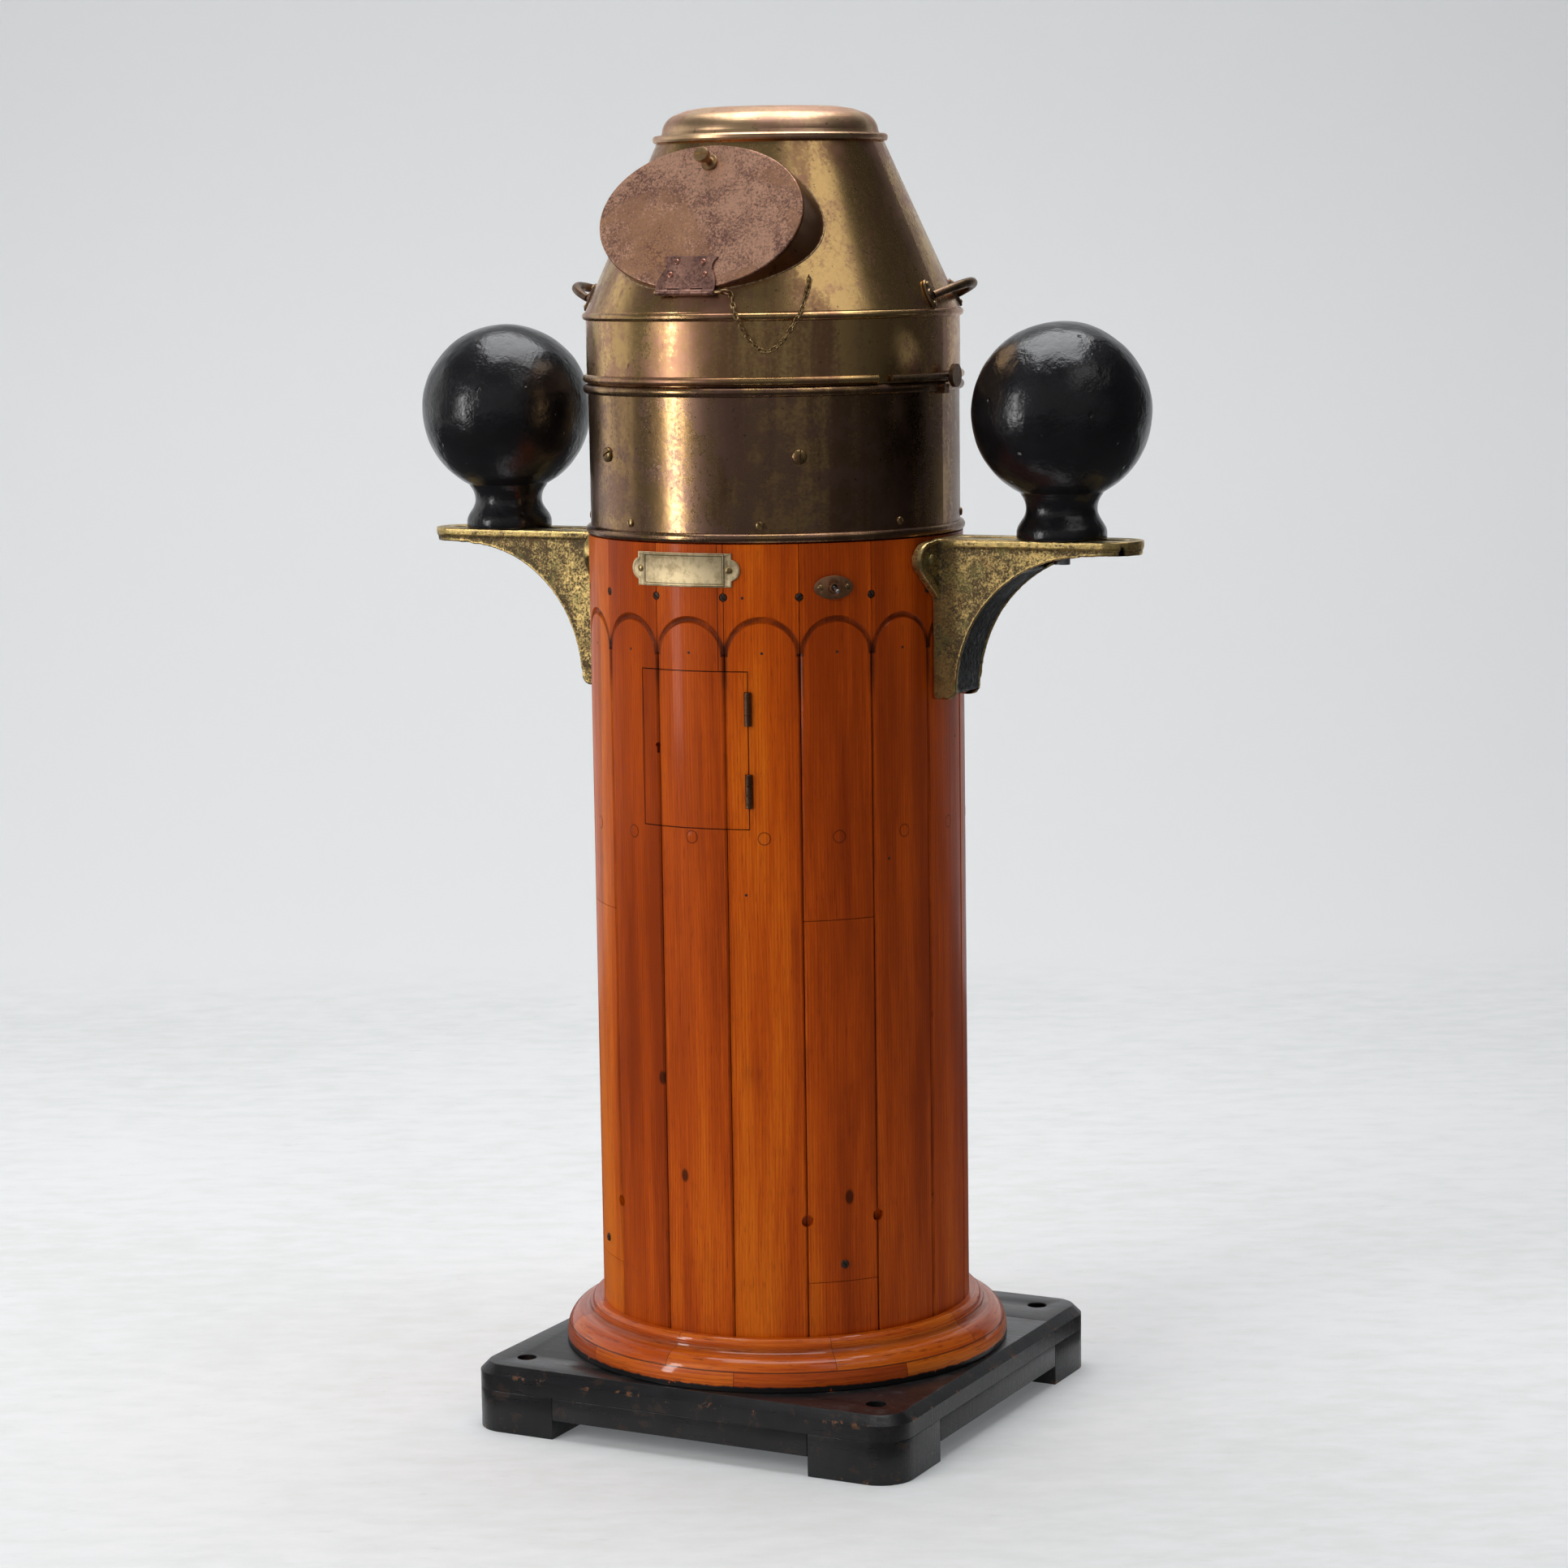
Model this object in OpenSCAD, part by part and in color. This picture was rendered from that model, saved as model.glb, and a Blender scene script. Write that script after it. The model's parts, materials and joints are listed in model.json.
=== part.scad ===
// Binnacle compass: a staved teak pedestal on a black base, side brackets with two
// corrector spheres, a brass compass drum and a lift-off brass helmet with a window lid.
// Origin: pedestal axis at floor level.  Front (door, window) is -Y, brackets are on X.
// Angles called "th" run round the pedestal from the front (0) towards +X (90).

/* [Base] */
// Side of the square base
base_w = 484; // [460:1:520]
// Thickness of the base's top boards
board_t = 25; // [20:1:30]
// Height of the corner blocks that the base stands on
foot_h = 43; // [36:1:50]
// Side of each corner block
foot_w = 98; // [80:1:110]
// Height of the gap under the rails
rail_gap = 20; // [10:1:28]
// Radius of the base's vertical corners
base_corner_r = 35; // [25:1:45]
// Chamfer along the top edge of the base
base_chamfer = 9; // [5:1:12]
// Radius of the deck bolt holes
bolt_hole_r = 10; // [6:0.5:12]
// Distance of each deck bolt hole from the centre lines
bolt_hole_off = 198; // [190:1:205]

/* [Pedestal] */
// Outer radius of the staved column
column_r = 190; // [185:1:195]
// Thickness of a stave
stave_t = 26; // [20:1:30]
// Height of the column above the base
column_h = 836; // [820:1:850]
// Number of staves
stave_count = 16; // [16]
// Height above the floor of the crown of each stave's arch
arch_crown_z = 830.5; // [820:0.5:840]
// Half width of the arch and panel moulding groove
groove_r = 3.6; // [2:0.1:4]

/* [Door and panels] */
// Left edge of the door, degrees from the front
door_th0 = -17.4; // [-18:0.1:-16]
// Hinge edge of the door, degrees from the front
door_th1 = 18.2; // [17:0.1:19]
// Bottom of the door
door_z0 = 625; // [615:1:635]
// Top of the door
door_z1 = 780; // [770:1:790]
// Bottom of the two access panels
panel_z0 = 169; // [160:1:180]
// Top of the two access panels
panel_z1 = 533; // [520:1:545]

/* [Brackets and spheres] */
// Radius of a corrector sphere
sphere_r = 88.9; // [80:0.1:95]
// Distance of each sphere from the pedestal axis
sphere_x = 315; // [305:1:320]
// Height of the sphere centres
sphere_z = 1025.8; // [1020:0.1:1030]
// Height of the brackets' top face
bracket_z = 902; // [895:1:904]
// Half width of a bracket, and radius of its rounded tip
bracket_half_w = 32; // [28:1:36]
// Distance of the rounded tip's centre from the pedestal axis
bracket_tip_x = 367; // [355:1:375]

/* [Drum and helmet] */
// Outer radius of the compass drum
drum_r = 187.5; // [184:0.5:189]
// Top of the compass drum
drum_top_z = 1056; // [1050:1:1060]
// Outer radius of the helmet's straight band
band_r = 188.5; // [186:0.5:190]
// Top of the straight band, where the cone starts
band_top_z = 1128; // [1120:1:1132]
// Top of the cone
cone_top_z = 1293.6; // [1285:0.1:1300]
// Outer radius of the cone at its top
cone_top_r = 113.8; // [110:0.1:118]
// Top of the cap
cap_top_z = 1328.5; // [1324:0.5:1332]
// Angle of the two lifting handles, degrees round from the front
handle_th = 99; // [90:1:104]

/* [Window lid] */
// Half length of the oval lid
lid_a = 110.8; // [105:0.1:114]
// Half height of the oval lid
lid_b = 75.6; // [70:0.1:80]
// Slope of the lid's face above the horizontal
lid_slope = 24; // [22:1:26]
// Distance of the lid's face centre in front of the axis
lid_y = 152.5; // [150:0.5:156]
// Height of the lid's face centre
lid_z = 1219.3; // [1214:0.1:1222]

/* [Compass] */
// Height of the gimbal pivots
gimbal_z = 1008; // [1000:1:1012]
// Outer radius of the compass bowl
bowl_r = 118; // [105:1:120]
// Radius of the compass card
card_r = 100; // [90:1:104]

/* [Hidden] */
$fn = 96;

base_top = foot_h + board_t;
base_half = base_w / 2;
column_top = base_top + column_h;
stave_r0 = column_r - stave_t;
stave_step = 360 / stave_count;
stave_gap = 0.1;
fit = 0.3;
run_fit = 0.1;
// Colours
black_paint = [0.09, 0.09, 0.09];
teak = [0.62, 0.25, 0.09];
pale_wood = [0.62, 0.45, 0.28];
brass = [0.62, 0.46, 0.26];
old_brass = [0.48, 0.38, 0.24];
cast_black = [0.05, 0.05, 0.05];
steel = [0.55, 0.55, 0.56];
glass = [0.75, 0.85, 0.85, 0.5];

// ---------- helpers ----------

// Points of an arc round (cx, cy)
function arc(cx, cy, r, a0, a1, n = 12) =
  [for (i = [0:n]) [cx + r * cos(a0 + (a1 - a0) * i / n), cy + r * sin(a0 + (a1 - a0) * i / n)]];

// Outer radius of the helmet's cone at a height
cone_slope = (band_r - cone_top_r) / (cone_top_z - band_top_z);
function cone_r(z) = cone_top_r + (cone_top_z - z) * cone_slope;

// Children placed on the pedestal: local X points outwards, local Y points towards +th
module at(th, r, z) {
  rotate([0, 0, th - 90]) translate([r, 0, z]) children();
}

// A block with curved faces round the pedestal axis
module sector(r0, r1, z0, z1, th0, th1) {
  rotate([0, 0, th0 - 90])
    rotate_extrude(angle = th1 - th0)
      translate([r0, z0]) square([r1 - r0, z1 - z0]);
}

// A plain ring round the pedestal axis
module ring(r0, r1, z0, z1) {
  rotate_extrude() translate([r0, z0]) square([r1 - r0, z1 - z0]);
}

// Children placed on the lid's face: local Z leaves the face, local Y runs up it
module on_lid() {
  translate([0, -lid_y, lid_z]) rotate([90 - lid_slope, 0, 0]) children();
}

// Oval cylinder in the lid's frame
module oval(a, b, w0, w1) {
  translate([0, 0, w0]) linear_extrude(w1 - w0) scale([1, b / a]) circle(r = a);
}

// A radial pin: its axis lies along local X
module pin_x(r, x0, x1) {
  translate([x0, 0, 0]) rotate([0, 90, 0]) cylinder(r = r, h = x1 - x0);
}

// A slotted screw with a crowned head standing on a radial shank, placed with at()
module screw_x(head_r, head_h, shank_r, shank_l) {
  $fn = 32;
  rotate([0, 90, 0])
    difference() {
      rotate_extrude()
        polygon([[0, -shank_l], [shank_r, -shank_l], [shank_r, 0], [head_r, 0],
                 [head_r, head_h * 0.45], [head_r * 0.6, head_h], [0, head_h]]);
      translate([0, 0, head_h]) cube([head_r * 3, head_r * 0.28, head_h], center = true);
    }
}

// ---------- base ----------

// Solid with the outline of the base: rounded vertical corners and a chamfered top edge
module base_outline(z0, z1, chamfer) {
  c = base_half - base_corner_r;
  zc = z1 - chamfer;
  section = [[-base_half, z0], [base_half, z0], [base_half, zc], [base_half - chamfer, z1],
             [chamfer - base_half, z1], [-base_half, zc]];
  for (turn = [0, 90])
    rotate([0, 0, turn]) translate([0, c, 0]) rotate([90, 0, 0])
      linear_extrude(2 * c) polygon(section);
  for (x = [-c, c], y = [-c, c])
    translate([x, y, z0]) {
      cylinder(r = base_corner_r, h = zc - z0);
      if (chamfer > 0)
        translate([0, 0, zc - z0])
          cylinder(r1 = base_corner_r, r2 = base_corner_r - chamfer, h = chamfer);
    }
}

// The four deck bolt holes
module bolt_holes() {
  for (x = [-1, 1], y = [-1, 1])
    translate([x * bolt_hole_off, y * bolt_hole_off, -1]) cylinder(r = bolt_hole_r, h = base_top + 2);
}

board_joint_y = 144;

module base_board(y0, y1) {
  difference() {
    intersection() {
      base_outline(foot_h, base_top, base_chamfer);
      translate([-base_half, y0, foot_h]) cube([base_w, y1 - y0, board_t]);
    }
    bolt_holes();
  }
}

module base_board_front() {
  color(black_paint) base_board(-base_half, board_joint_y);
}

module base_board_rear() {
  color(black_paint) base_board(board_joint_y + 0.2, base_half);
}

rail_w = 60;

module base_rails() {
  color(black_paint)
    for (turn = [0:90:270])
      rotate([0, 0, turn])
        translate([foot_w - base_half + fit, -base_half, rail_gap])
          cube([base_w - 2 * foot_w - 2 * fit, rail_w, foot_h - rail_gap]);
}

module base_feet() {
  color(black_paint)
    difference() {
      intersection() {
        base_outline(0, foot_h, 0);
        for (x = [-base_half, base_half - foot_w], y = [-base_half, base_half - foot_w])
          translate([x, y, 0]) cube([foot_w, foot_w, foot_h]);
      }
      bolt_holes();
    }
}

// ---------- pedestal foot moulding ----------

ring_inner_r = column_r + 0.2;
torus_r = 229;
torus_top_r = 212.5;
torus_top_z = base_top + 32.8;
torus_flat_h = 6;
layer_z = base_top + 20;

// Quarter ellipse that carries the moulding from the black edge up to the cove
function torus_curve(n = 16) = [
  for (i = [0:n])
    let (a = 90 * i / n)
      [torus_top_r - 2 + (torus_r - torus_top_r + 2) * cos(a),
       base_top + torus_flat_h + (torus_top_z - base_top - torus_flat_h) * sin(a)]
];

module moulding_profile() {
  lip_r = 202;
  lip_z = base_top + 39;
  polygon(concat(
    [[ring_inner_r, base_top + 0.1], [torus_r - 1, base_top + 0.1], [torus_r, base_top + 1]],
    torus_curve(),
    arc(torus_top_r - 2, lip_z, lip_z - torus_top_z, -90, -180, 6),
    [[lip_r, lip_z]],
    arc(lip_r - 8, lip_z + 0.5, 8, 0, 60, 6),
    [[ring_inner_r + 1, base_top + 46], [ring_inner_r, base_top + 46]]
  ));
}

module foot_ring(z0, z1) {
  rotate_extrude()
    intersection() {
      moulding_profile();
      translate([ring_inner_r, z0]) square([torus_r, z1 - z0]);
    }
}

module foot_ring_lower() {
  color(teak) foot_ring(base_top, layer_z);
}

module foot_ring_upper() {
  color(teak) foot_ring(layer_z + 0.1, base_top + 50);
}

// ---------- column ----------

arch_r = 36;
arch_z = arch_crown_z - arch_r;
spring_z = 797;
joint_groove_w = 2.2;
joint_groove_d = 1.8;
notch_r = 6;
notch_z = 232;
hinge_r = column_r + 1.5;
knuckle_r = 3.6;
knuckle_relief = 4.2;
hinge_spans = [[646, 679], [727, 760]];
leaf_t = 1.5;
leaf_w = 19;

// Rounded cove that marks the arched head of a stave's panel
module arch_groove() {
  at(0, column_r + 0.4, arch_z)
    rotate([0, 90, 0]) rotate([0, 0, 90])
      rotate_extrude(angle = 180) translate([arch_r, 0]) circle(r = groove_r);
}

// Narrow vee down the joint between two staves
module joint_groove(th) {
  at(th, 0, 0)
    linear_extrude(spring_z)
      polygon([[column_r - joint_groove_d, 0], [column_r + 1, -joint_groove_w * 1.6],
               [column_r + 1, joint_groove_w * 1.6]]);
}

// Half-round finger notches at the foot of each access panel
module panel_notches() {
  for (side = [-1, 1], edge = [-0.5, 0.5])
    at(side * 2 * stave_step + edge * stave_step, column_r - 7, notch_z)
      pin_x(notch_r, 0, 12);
}

// Room for the door's barrels and for the leaves let into the two edges
module hinge_relief() {
  at(door_th1, hinge_r, 0)
    for (span = hinge_spans) {
      translate([0, 0, span[0] - fit]) cylinder(r = knuckle_relief, h = span[1] - span[0] + 2 * fit);
      translate([-leaf_w - fit, -leaf_t - 0.6, span[0] - fit])
        cube([leaf_w + fit, 2 * leaf_t + 1.2, span[1] - span[0] + 2 * fit]);
    }
}

module door_opening(z0, z1, gap) {
  sector(stave_r0 - 5, column_r + 5, z0 - gap, z1 + gap, door_th0 - gap / 4, door_th1 + gap / 8);
}

spandrel_z = 852.5;
panel_staves = [-2, 2];

module column_staves() {
  color(teak)
    difference() {
      for (i = [0:stave_count - 1])
        difference() {
          sector(stave_r0, column_r, base_top + 0.1, column_top,
                 (i - 0.5) * stave_step + stave_gap, (i + 0.5) * stave_step - stave_gap);
          rotate([0, 0, i * stave_step]) arch_groove();
          for (edge = [-0.5, 0.5]) joint_groove((i + edge) * stave_step);
        }
      door_opening(door_z0, door_z1, 0.6);
      for (i = panel_staves)
        sector(stave_r0 - 5, column_r + 5, panel_z0 - 0.6, panel_z1 + 0.6,
               (i - 0.5) * stave_step - 0.1, (i + 0.5) * stave_step + 0.1);
      panel_notches();
      hinge_relief();
      // screw holes at the spandrels, on the stave joints
      for (i = [0:stave_count - 1])
        at((i + 0.5) * stave_step, column_r, spandrel_z) pin_x(4.2, -8, 2);
      // hole of the lamp switch
      at(switch_th, 0, switch_z) pin_x(switch_hole_r, stave_r0 - 5, column_r + 5);
    }
}

module column_screws() {
  color(steel)
    for (i = [0:stave_count - 1])
      at((i + 0.5) * stave_step, column_r - 1.4, spandrel_z) screw_x(4.1, 1.2, 2, 6);
}

// ---------- inside the pedestal ----------

disc_r = stave_r0 - 0.3;
top_disc_z = 874;
top_disc_t = 16;
shelf_z = 600;
shelf_t = 14;
tube_r0 = 22;
tube_r1 = 25;
tube_top_z = 905;
floor_t = 22;
tube_z = base_top + floor_t + 0.1;
rack_x0 = 55;
rack_w = 40;
rack_half_l = 100;
rack_h = 176;
rack_rows = 5;
rack_pitch = 30;
magnet_r = 5;
magnet_l = 190;

module pedestal_floor() {
  color(pale_wood) ring(0, disc_r, base_top + 0.1, base_top + floor_t);
}

module pedestal_top_disc() {
  color(pale_wood) ring(tube_r1 + 0.2, disc_r, top_disc_z, top_disc_z + top_disc_t);
}

module magnet_shelf() {
  color(pale_wood) ring(tube_r1 + 0.2, disc_r, shelf_z, shelf_z + shelf_t);
}

// Places children at a hole of a rack, counted from the bottom
module at_rack_hole(side, column, row) {
  translate([side * (rack_x0 + rack_w * (0.25 + 0.5 * column)), 0,
             shelf_z + shelf_t + 28 + row * rack_pitch])
    rotate([90, 0, 0]) children();
}

module magnet_rack(side) {
  x = side > 0 ? rack_x0 : -rack_x0 - rack_w;
  difference() {
    translate([x, -rack_half_l, shelf_z + shelf_t + 0.1]) cube([rack_w, 2 * rack_half_l, rack_h]);
    for (column = [0, 1], row = [0:rack_rows - 1])
      at_rack_hole(side, column, row)
        cylinder(r = magnet_r + 0.3, h = 2 * rack_half_l + 2, center = true);
  }
}

module magnet_rack_left() {
  color(pale_wood) magnet_rack(-1);
}

module magnet_rack_right() {
  color(pale_wood) magnet_rack(1);
}

module corrector_magnets() {
  color(steel)
    for (side = [-1, 1], row = [1, 3])
      at_rack_hole(side, 0, row) cylinder(r = magnet_r, h = magnet_l, center = true);
}

module heeling_tube() {
  color(brass) ring(tube_r0, tube_r1, tube_z, tube_top_z);
}

// Cup that carries the heeling magnets up and down the tube
module heeling_bucket() {
  bucket_h = 95;
  color(brass)
    difference() {
      ring(0, tube_r0 - 0.3, tube_z + 1, tube_z + bucket_h);
      for (x = [-9, 9])
        translate([x, 0, tube_z + 5]) cylinder(r = 5.5, h = bucket_h);
    }
}

// ---------- door of the magnet chamber ----------

lock_th = -11.7;
lock_z = 705;
lock_x0 = 150;
lock_x1 = 163;
lock_half_w = 15;
lock_half_h = 24;
tongue_x0 = 153;
tongue_t = 6;
tongue_half_h = 7;

module magnet_door() {
  color(teak)
    difference() {
      sector(stave_r0, column_r, door_z0, door_z1, door_th0 + 0.1, door_th1 - 0.1);
      for (edge = [-0.5, 0.5]) joint_groove(edge * stave_step);
      hinge_relief();
      at(lock_th, 0, lock_z) {
        pin_x(2.6, stave_r0 - 1, column_r + 1);
        translate([stave_r0 - 1, -1.1, -8]) cube([stave_t + 2, 2.2, 8]);
      }
    }
}

// Knuckles numbered from the bottom of each hinge; even ones belong to the frame
module knuckle(span, n) {
  pitch = (span[1] - span[0]) / 3;
  translate([0, 0, span[0] + n * pitch + 0.15]) cylinder(r = knuckle_r, h = pitch - 0.3);
}

// Hinge leaf let into an edge; side is +1 for the frame and -1 for the door
module hinge_leaf(span, side) {
  y0 = side > 0 ? 0.35 : -0.35 - leaf_t;
  translate([-leaf_w, y0, span[0]]) cube([leaf_w, leaf_t, span[1] - span[0]]);
}

module hinge_half(side, numbers) {
  at(door_th1, hinge_r, 0)
    for (span = hinge_spans)
      difference() {
        union() {
          difference() {
            hinge_leaf(span, side);
            translate([0, 0, span[0] - 1])
              cylinder(r = knuckle_r + 0.3, h = span[1] - span[0] + 2);
          }
          for (n = numbers)
            intersection() {
              union() {
                knuckle(span, n);
                hinge_leaf(span, side);
              }
              translate([-knuckle_r - 1, -knuckle_r - 1, span[0] + n * (span[1] - span[0]) / 3 + 0.15])
                cube([2 * knuckle_r + 2, 2 * knuckle_r + 2, (span[1] - span[0]) / 3 - 0.3]);
            }
        }
        translate([0, 0, span[0] - 1]) cylinder(r = 1.5 + run_fit, h = span[1] - span[0] + 2);
      }
}

module door_hinge_barrels() {
  color(old_brass) hinge_half(-1, [1]);
}

module frame_hinge_barrels() {
  color(old_brass) hinge_half(1, [0, 2]);
}

module door_hinge_pins() {
  color(steel)
    at(door_th1, hinge_r, 0)
      for (span = hinge_spans)
        translate([0, 0, span[0] + 0.1]) cylinder(r = 1.5, h = span[1] - span[0] - 0.2);
}

module door_lock_case() {
  color(brass)
    at(lock_th, 0, lock_z)
      difference() {
        translate([lock_x0, -lock_half_w, -lock_half_h])
          cube([lock_x1 - lock_x0, 2 * lock_half_w, 2 * lock_half_h]);
        translate([tongue_x0 - fit, -lock_half_w - 1, -tongue_half_h - fit])
          cube([tongue_t + 2 * fit, lock_half_w + 11, 2 * (tongue_half_h + fit)]);
        pin_x(2.6, lock_x0 - 1, lock_x1 + 1);
      }
}

module door_lock_bolt() {
  color(steel)
    at(lock_th, 0, lock_z)
      translate([tongue_x0, -lock_half_w, -tongue_half_h])
        cube([tongue_t, lock_half_w - 4, 2 * tongue_half_h]);
}

module access_panel(i) {
  difference() {
    sector(stave_r0, column_r, panel_z0, panel_z1, (i - 0.5) * stave_step + 0.1,
           (i + 0.5) * stave_step - 0.1);
    for (edge = [-0.5, 0.5]) joint_groove((i + edge) * stave_step);
    panel_notches();
  }
}

module access_panel_left() {
  color(teak) access_panel(-2);
}

module access_panel_right() {
  color(teak) access_panel(2);
}

// ---------- fittings on the column ----------

plate_th = -1.9;
plate_z = 879;
plate_half_w = 52.5;
plate_half_h = 16.5;
plate_ear_r = 11;
plate_screw_y = 49.5;
plate_t = 1.3;
switch_th = 44;
switch_z = 861;
switch_a = 20;
switch_b = 11.5;
switch_screw_y = 13.5;
switch_hole_r = 5.4;
toggle_x = 191;
toggle_rest = -13;

// A flat outline given in local Y and Z, made solid between two distances along local X
module along_x(x0, x1) {
  translate([x0, 0, 0]) rotate([90, 0, 90]) linear_extrude(x1 - x0) children();
}

module plate_outline(inset) {
  square([2 * (plate_half_w - inset), 2 * (plate_half_h - inset)], center = true);
  for (y = [-plate_screw_y, plate_screw_y])
    translate([y, 0]) circle(r = plate_ear_r - inset);
}

module nameplate() {
  color(brass) {
    intersection() {
      at(plate_th, 0, plate_z)
        difference() {
          along_x(150, 200) plate_outline(0);
          for (y = [-plate_screw_y, plate_screw_y])
            translate([0, y, 0]) pin_x(1.9, 140, 210);
        }
      union() {
        ring(column_r + 0.1, column_r + plate_t, plate_z - 30, plate_z + 30);
        difference() {
          ring(column_r + 0.1, column_r + plate_t + 0.6, plate_z - 30, plate_z + 30);
          at(plate_th, 0, plate_z) along_x(140, 210) plate_outline(2.2);
        }
      }
    }
  }
}

module plate_screws() {
  color(brass) {
    for (side = [-1, 1])
      at(plate_th + side * asin(plate_screw_y / column_r), column_r + plate_t + 0.05, plate_z)
        screw_x(3.6, 1.4, 1.7, 1.3);
    for (y = [-switch_screw_y, switch_screw_y])
      at(switch_th + asin(y / column_r), column_r + 2.55, switch_z)
        screw_x(3, 1.8, 1.5, 2.4);
  }
}

module switch_plate() {
  color(old_brass)
    intersection() {
      ring(column_r + 0.1, column_r + 2.5, switch_z - 20, switch_z + 20);
      at(switch_th, 0, switch_z)
        difference() {
          along_x(150, 210) scale([1, switch_b / switch_a]) circle(r = switch_a);
          pin_x(switch_hole_r, 140, 220);
          for (y = [-switch_screw_y, switch_screw_y]) translate([0, y, 0]) pin_x(1.7, 140, 220);
        }
    }
}

module switch_body() {
  color(old_brass)
    at(switch_th, 0, switch_z)
      difference() {
        union() {
          pin_x(11, stave_r0 - 18, stave_r0 - 1);
          pin_x(5.2, stave_r0 - 1.5, toggle_x + 3.5);
        }
        pin_x(3.2, toggle_x - 6, toggle_x + 5);
        translate([toggle_x, 0, 0]) rotate([90, 0, 0]) cylinder(r = 1 + run_fit, h = 8.8, center = true);
      }
}

module switch_toggle() {
  color(steel)
    at(switch_th, toggle_x, switch_z)
      rotate([0, -toggle_rest, 0]) {
        sphere(r = 2.7);
        rotate([90, 0, 0]) cylinder(r = 1, h = 8.4, center = true);
        pin_x(1.4, 0, 13);
        translate([13, 0, 0]) sphere(r = 2.2);
      }
}

lamp_y = 90;

module lamp_holder() {
  color(brass) translate([0, lamp_y, top_disc_z + top_disc_t + 0.1]) cylinder(r = 11, h = 10);
}

module lamp_bulb() {
  color(glass)
    translate([0, lamp_y, top_disc_z + top_disc_t + 10.2]) {
      cylinder(r = 4.5, h = 3);
      translate([0, 0, 6.4]) sphere(r = 6);
    }
}

// ---------- brackets and spheres ----------

bracket_curve_x = 350;
bracket_curve_z = 750;
bracket_curve_r = bracket_z - 15 - bracket_curve_z;
cheek_t = 6;
cheek_y = bracket_half_w - 1.5;
rim_h = 8;
plate_top_t = 7;
tip_h = 14;
bracket_bottom_z = 742;
slot_half_w = 8.7;
slot_x0 = 214;
slot_x1 = bracket_tip_x + 6;
web_x0 = 286;
web_t = 4;
ear_r = column_r + 9;
ear_z = 882;
rivet_y = 42;

module cheek_outline() {
  polygon(concat(
    [[170, bracket_z - 0.1], [bracket_tip_x, bracket_z - 0.1], [bracket_tip_x, bracket_z - tip_h],
     [bracket_curve_x + 6, bracket_z - 15]],
    arc(bracket_curve_x, bracket_curve_z, bracket_curve_r, 90, 178, 24),
    arc(203, bracket_bottom_z + 10, 10, 0, -90, 6),
    [[170, bracket_bottom_z]]
  ));
}

// Outline extruded across the bracket between two distances from its middle plane
module across(y0, y1) {
  translate([0, y1, 0]) rotate([90, 0, 0]) linear_extrude(y1 - y0) children();
}

module ear_outline() {
  polygon(concat(
    [[cheek_y - 4, bracket_z - 2], [44, bracket_z - 2]],
    arc(44, ear_z, bracket_z - 2 - ear_z, 90, -40, 12),
    [[cheek_y + 2, bracket_z - 58], [cheek_y - 4, bracket_z - 58]]
  ));
}

module bracket_top(half_w, z0, z1) {
  translate([0, 0, z0])
    linear_extrude(z1 - z0) {
      translate([170, -half_w]) square([bracket_tip_x - 170, 2 * half_w]);
      translate([bracket_tip_x, 0]) circle(r = half_w);
    }
}

module bracket() {
  difference() {
    union() {
      for (side = [-1, 1]) {
        across(side > 0 ? cheek_y - cheek_t : -cheek_y, side > 0 ? cheek_y : cheek_t - cheek_y)
          cheek_outline();
        intersection() {
          ring(column_r, ear_r, bracket_z - 62, bracket_z);
          translate([170, 0, 0]) rotate([90, 0, 90]) linear_extrude(60)
            scale([side, 1]) ear_outline();
        }
      }
      bracket_top(bracket_half_w, bracket_z - rim_h, bracket_z);
      difference() {
        bracket_top(cheek_y, bracket_z - tip_h, bracket_z - 1);
        translate([0, -100, 0]) cube([bracket_tip_x, 200, 2000]);
      }
      // curved web that closes the bracket between the cheeks
      intersection() {
        across(0.5 - cheek_y, cheek_y - 0.5)
          difference() {
            translate([bracket_curve_x, bracket_curve_z]) circle(r = bracket_curve_r + web_t);
            translate([bracket_curve_x, bracket_curve_z]) circle(r = bracket_curve_r);
          }
        translate([200, -100, bracket_bottom_z + 6]) cube([web_x0 - 200, 200, 200]);
      }
    }
    // hollow under the top plate at the rounded tip
    translate([0, 0, bracket_z - tip_h - 1])
      linear_extrude(tip_h + 1 - plate_top_t) {
        translate([240, cheek_t - cheek_y]) square([bracket_tip_x - 240, 2 * (cheek_y - cheek_t)]);
        translate([bracket_tip_x, 0]) circle(r = cheek_y - cheek_t);
      }
    // the hollow behind the rim, further in
    translate([170, cheek_t - cheek_y, bracket_z - 30])
      cube([75, 2 * (cheek_y - cheek_t), 30 - plate_top_t]);
    // slot for the sphere's bolt
    translate([slot_x0, -slot_half_w, bracket_z - 20])
      cube([slot_x1 - slot_x0, 2 * slot_half_w, 30]);
    for (x = [slot_x0, slot_x1])
      translate([x, 0, bracket_z - 20]) cylinder(r = slot_half_w, h = 30);
    translate([0, 0, 700]) cylinder(r = column_r + 0.1, h = 300);
  }
}

module bracket_right() {
  color(old_brass) bracket();
}

module bracket_left() {
  color(old_brass) rotate([0, 0, 180]) bracket();
}

module bracket_rivets() {
  color(old_brass)
    for (turn = [0, 180], y = [-rivet_y, rivet_y])
      at(90 + turn + asin(y / column_r), ear_r + 0.05, ear_z)
        intersection() {
          pin_x(4.5, 0, 3);
          translate([-3.5, 0, 0]) sphere(r = 6);
        }
}

foot_z0 = bracket_z + 0.3;
foot_r = 45;
foot_edge_h = 6;
neck_r = 35.5;
neck_z = 931;

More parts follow.
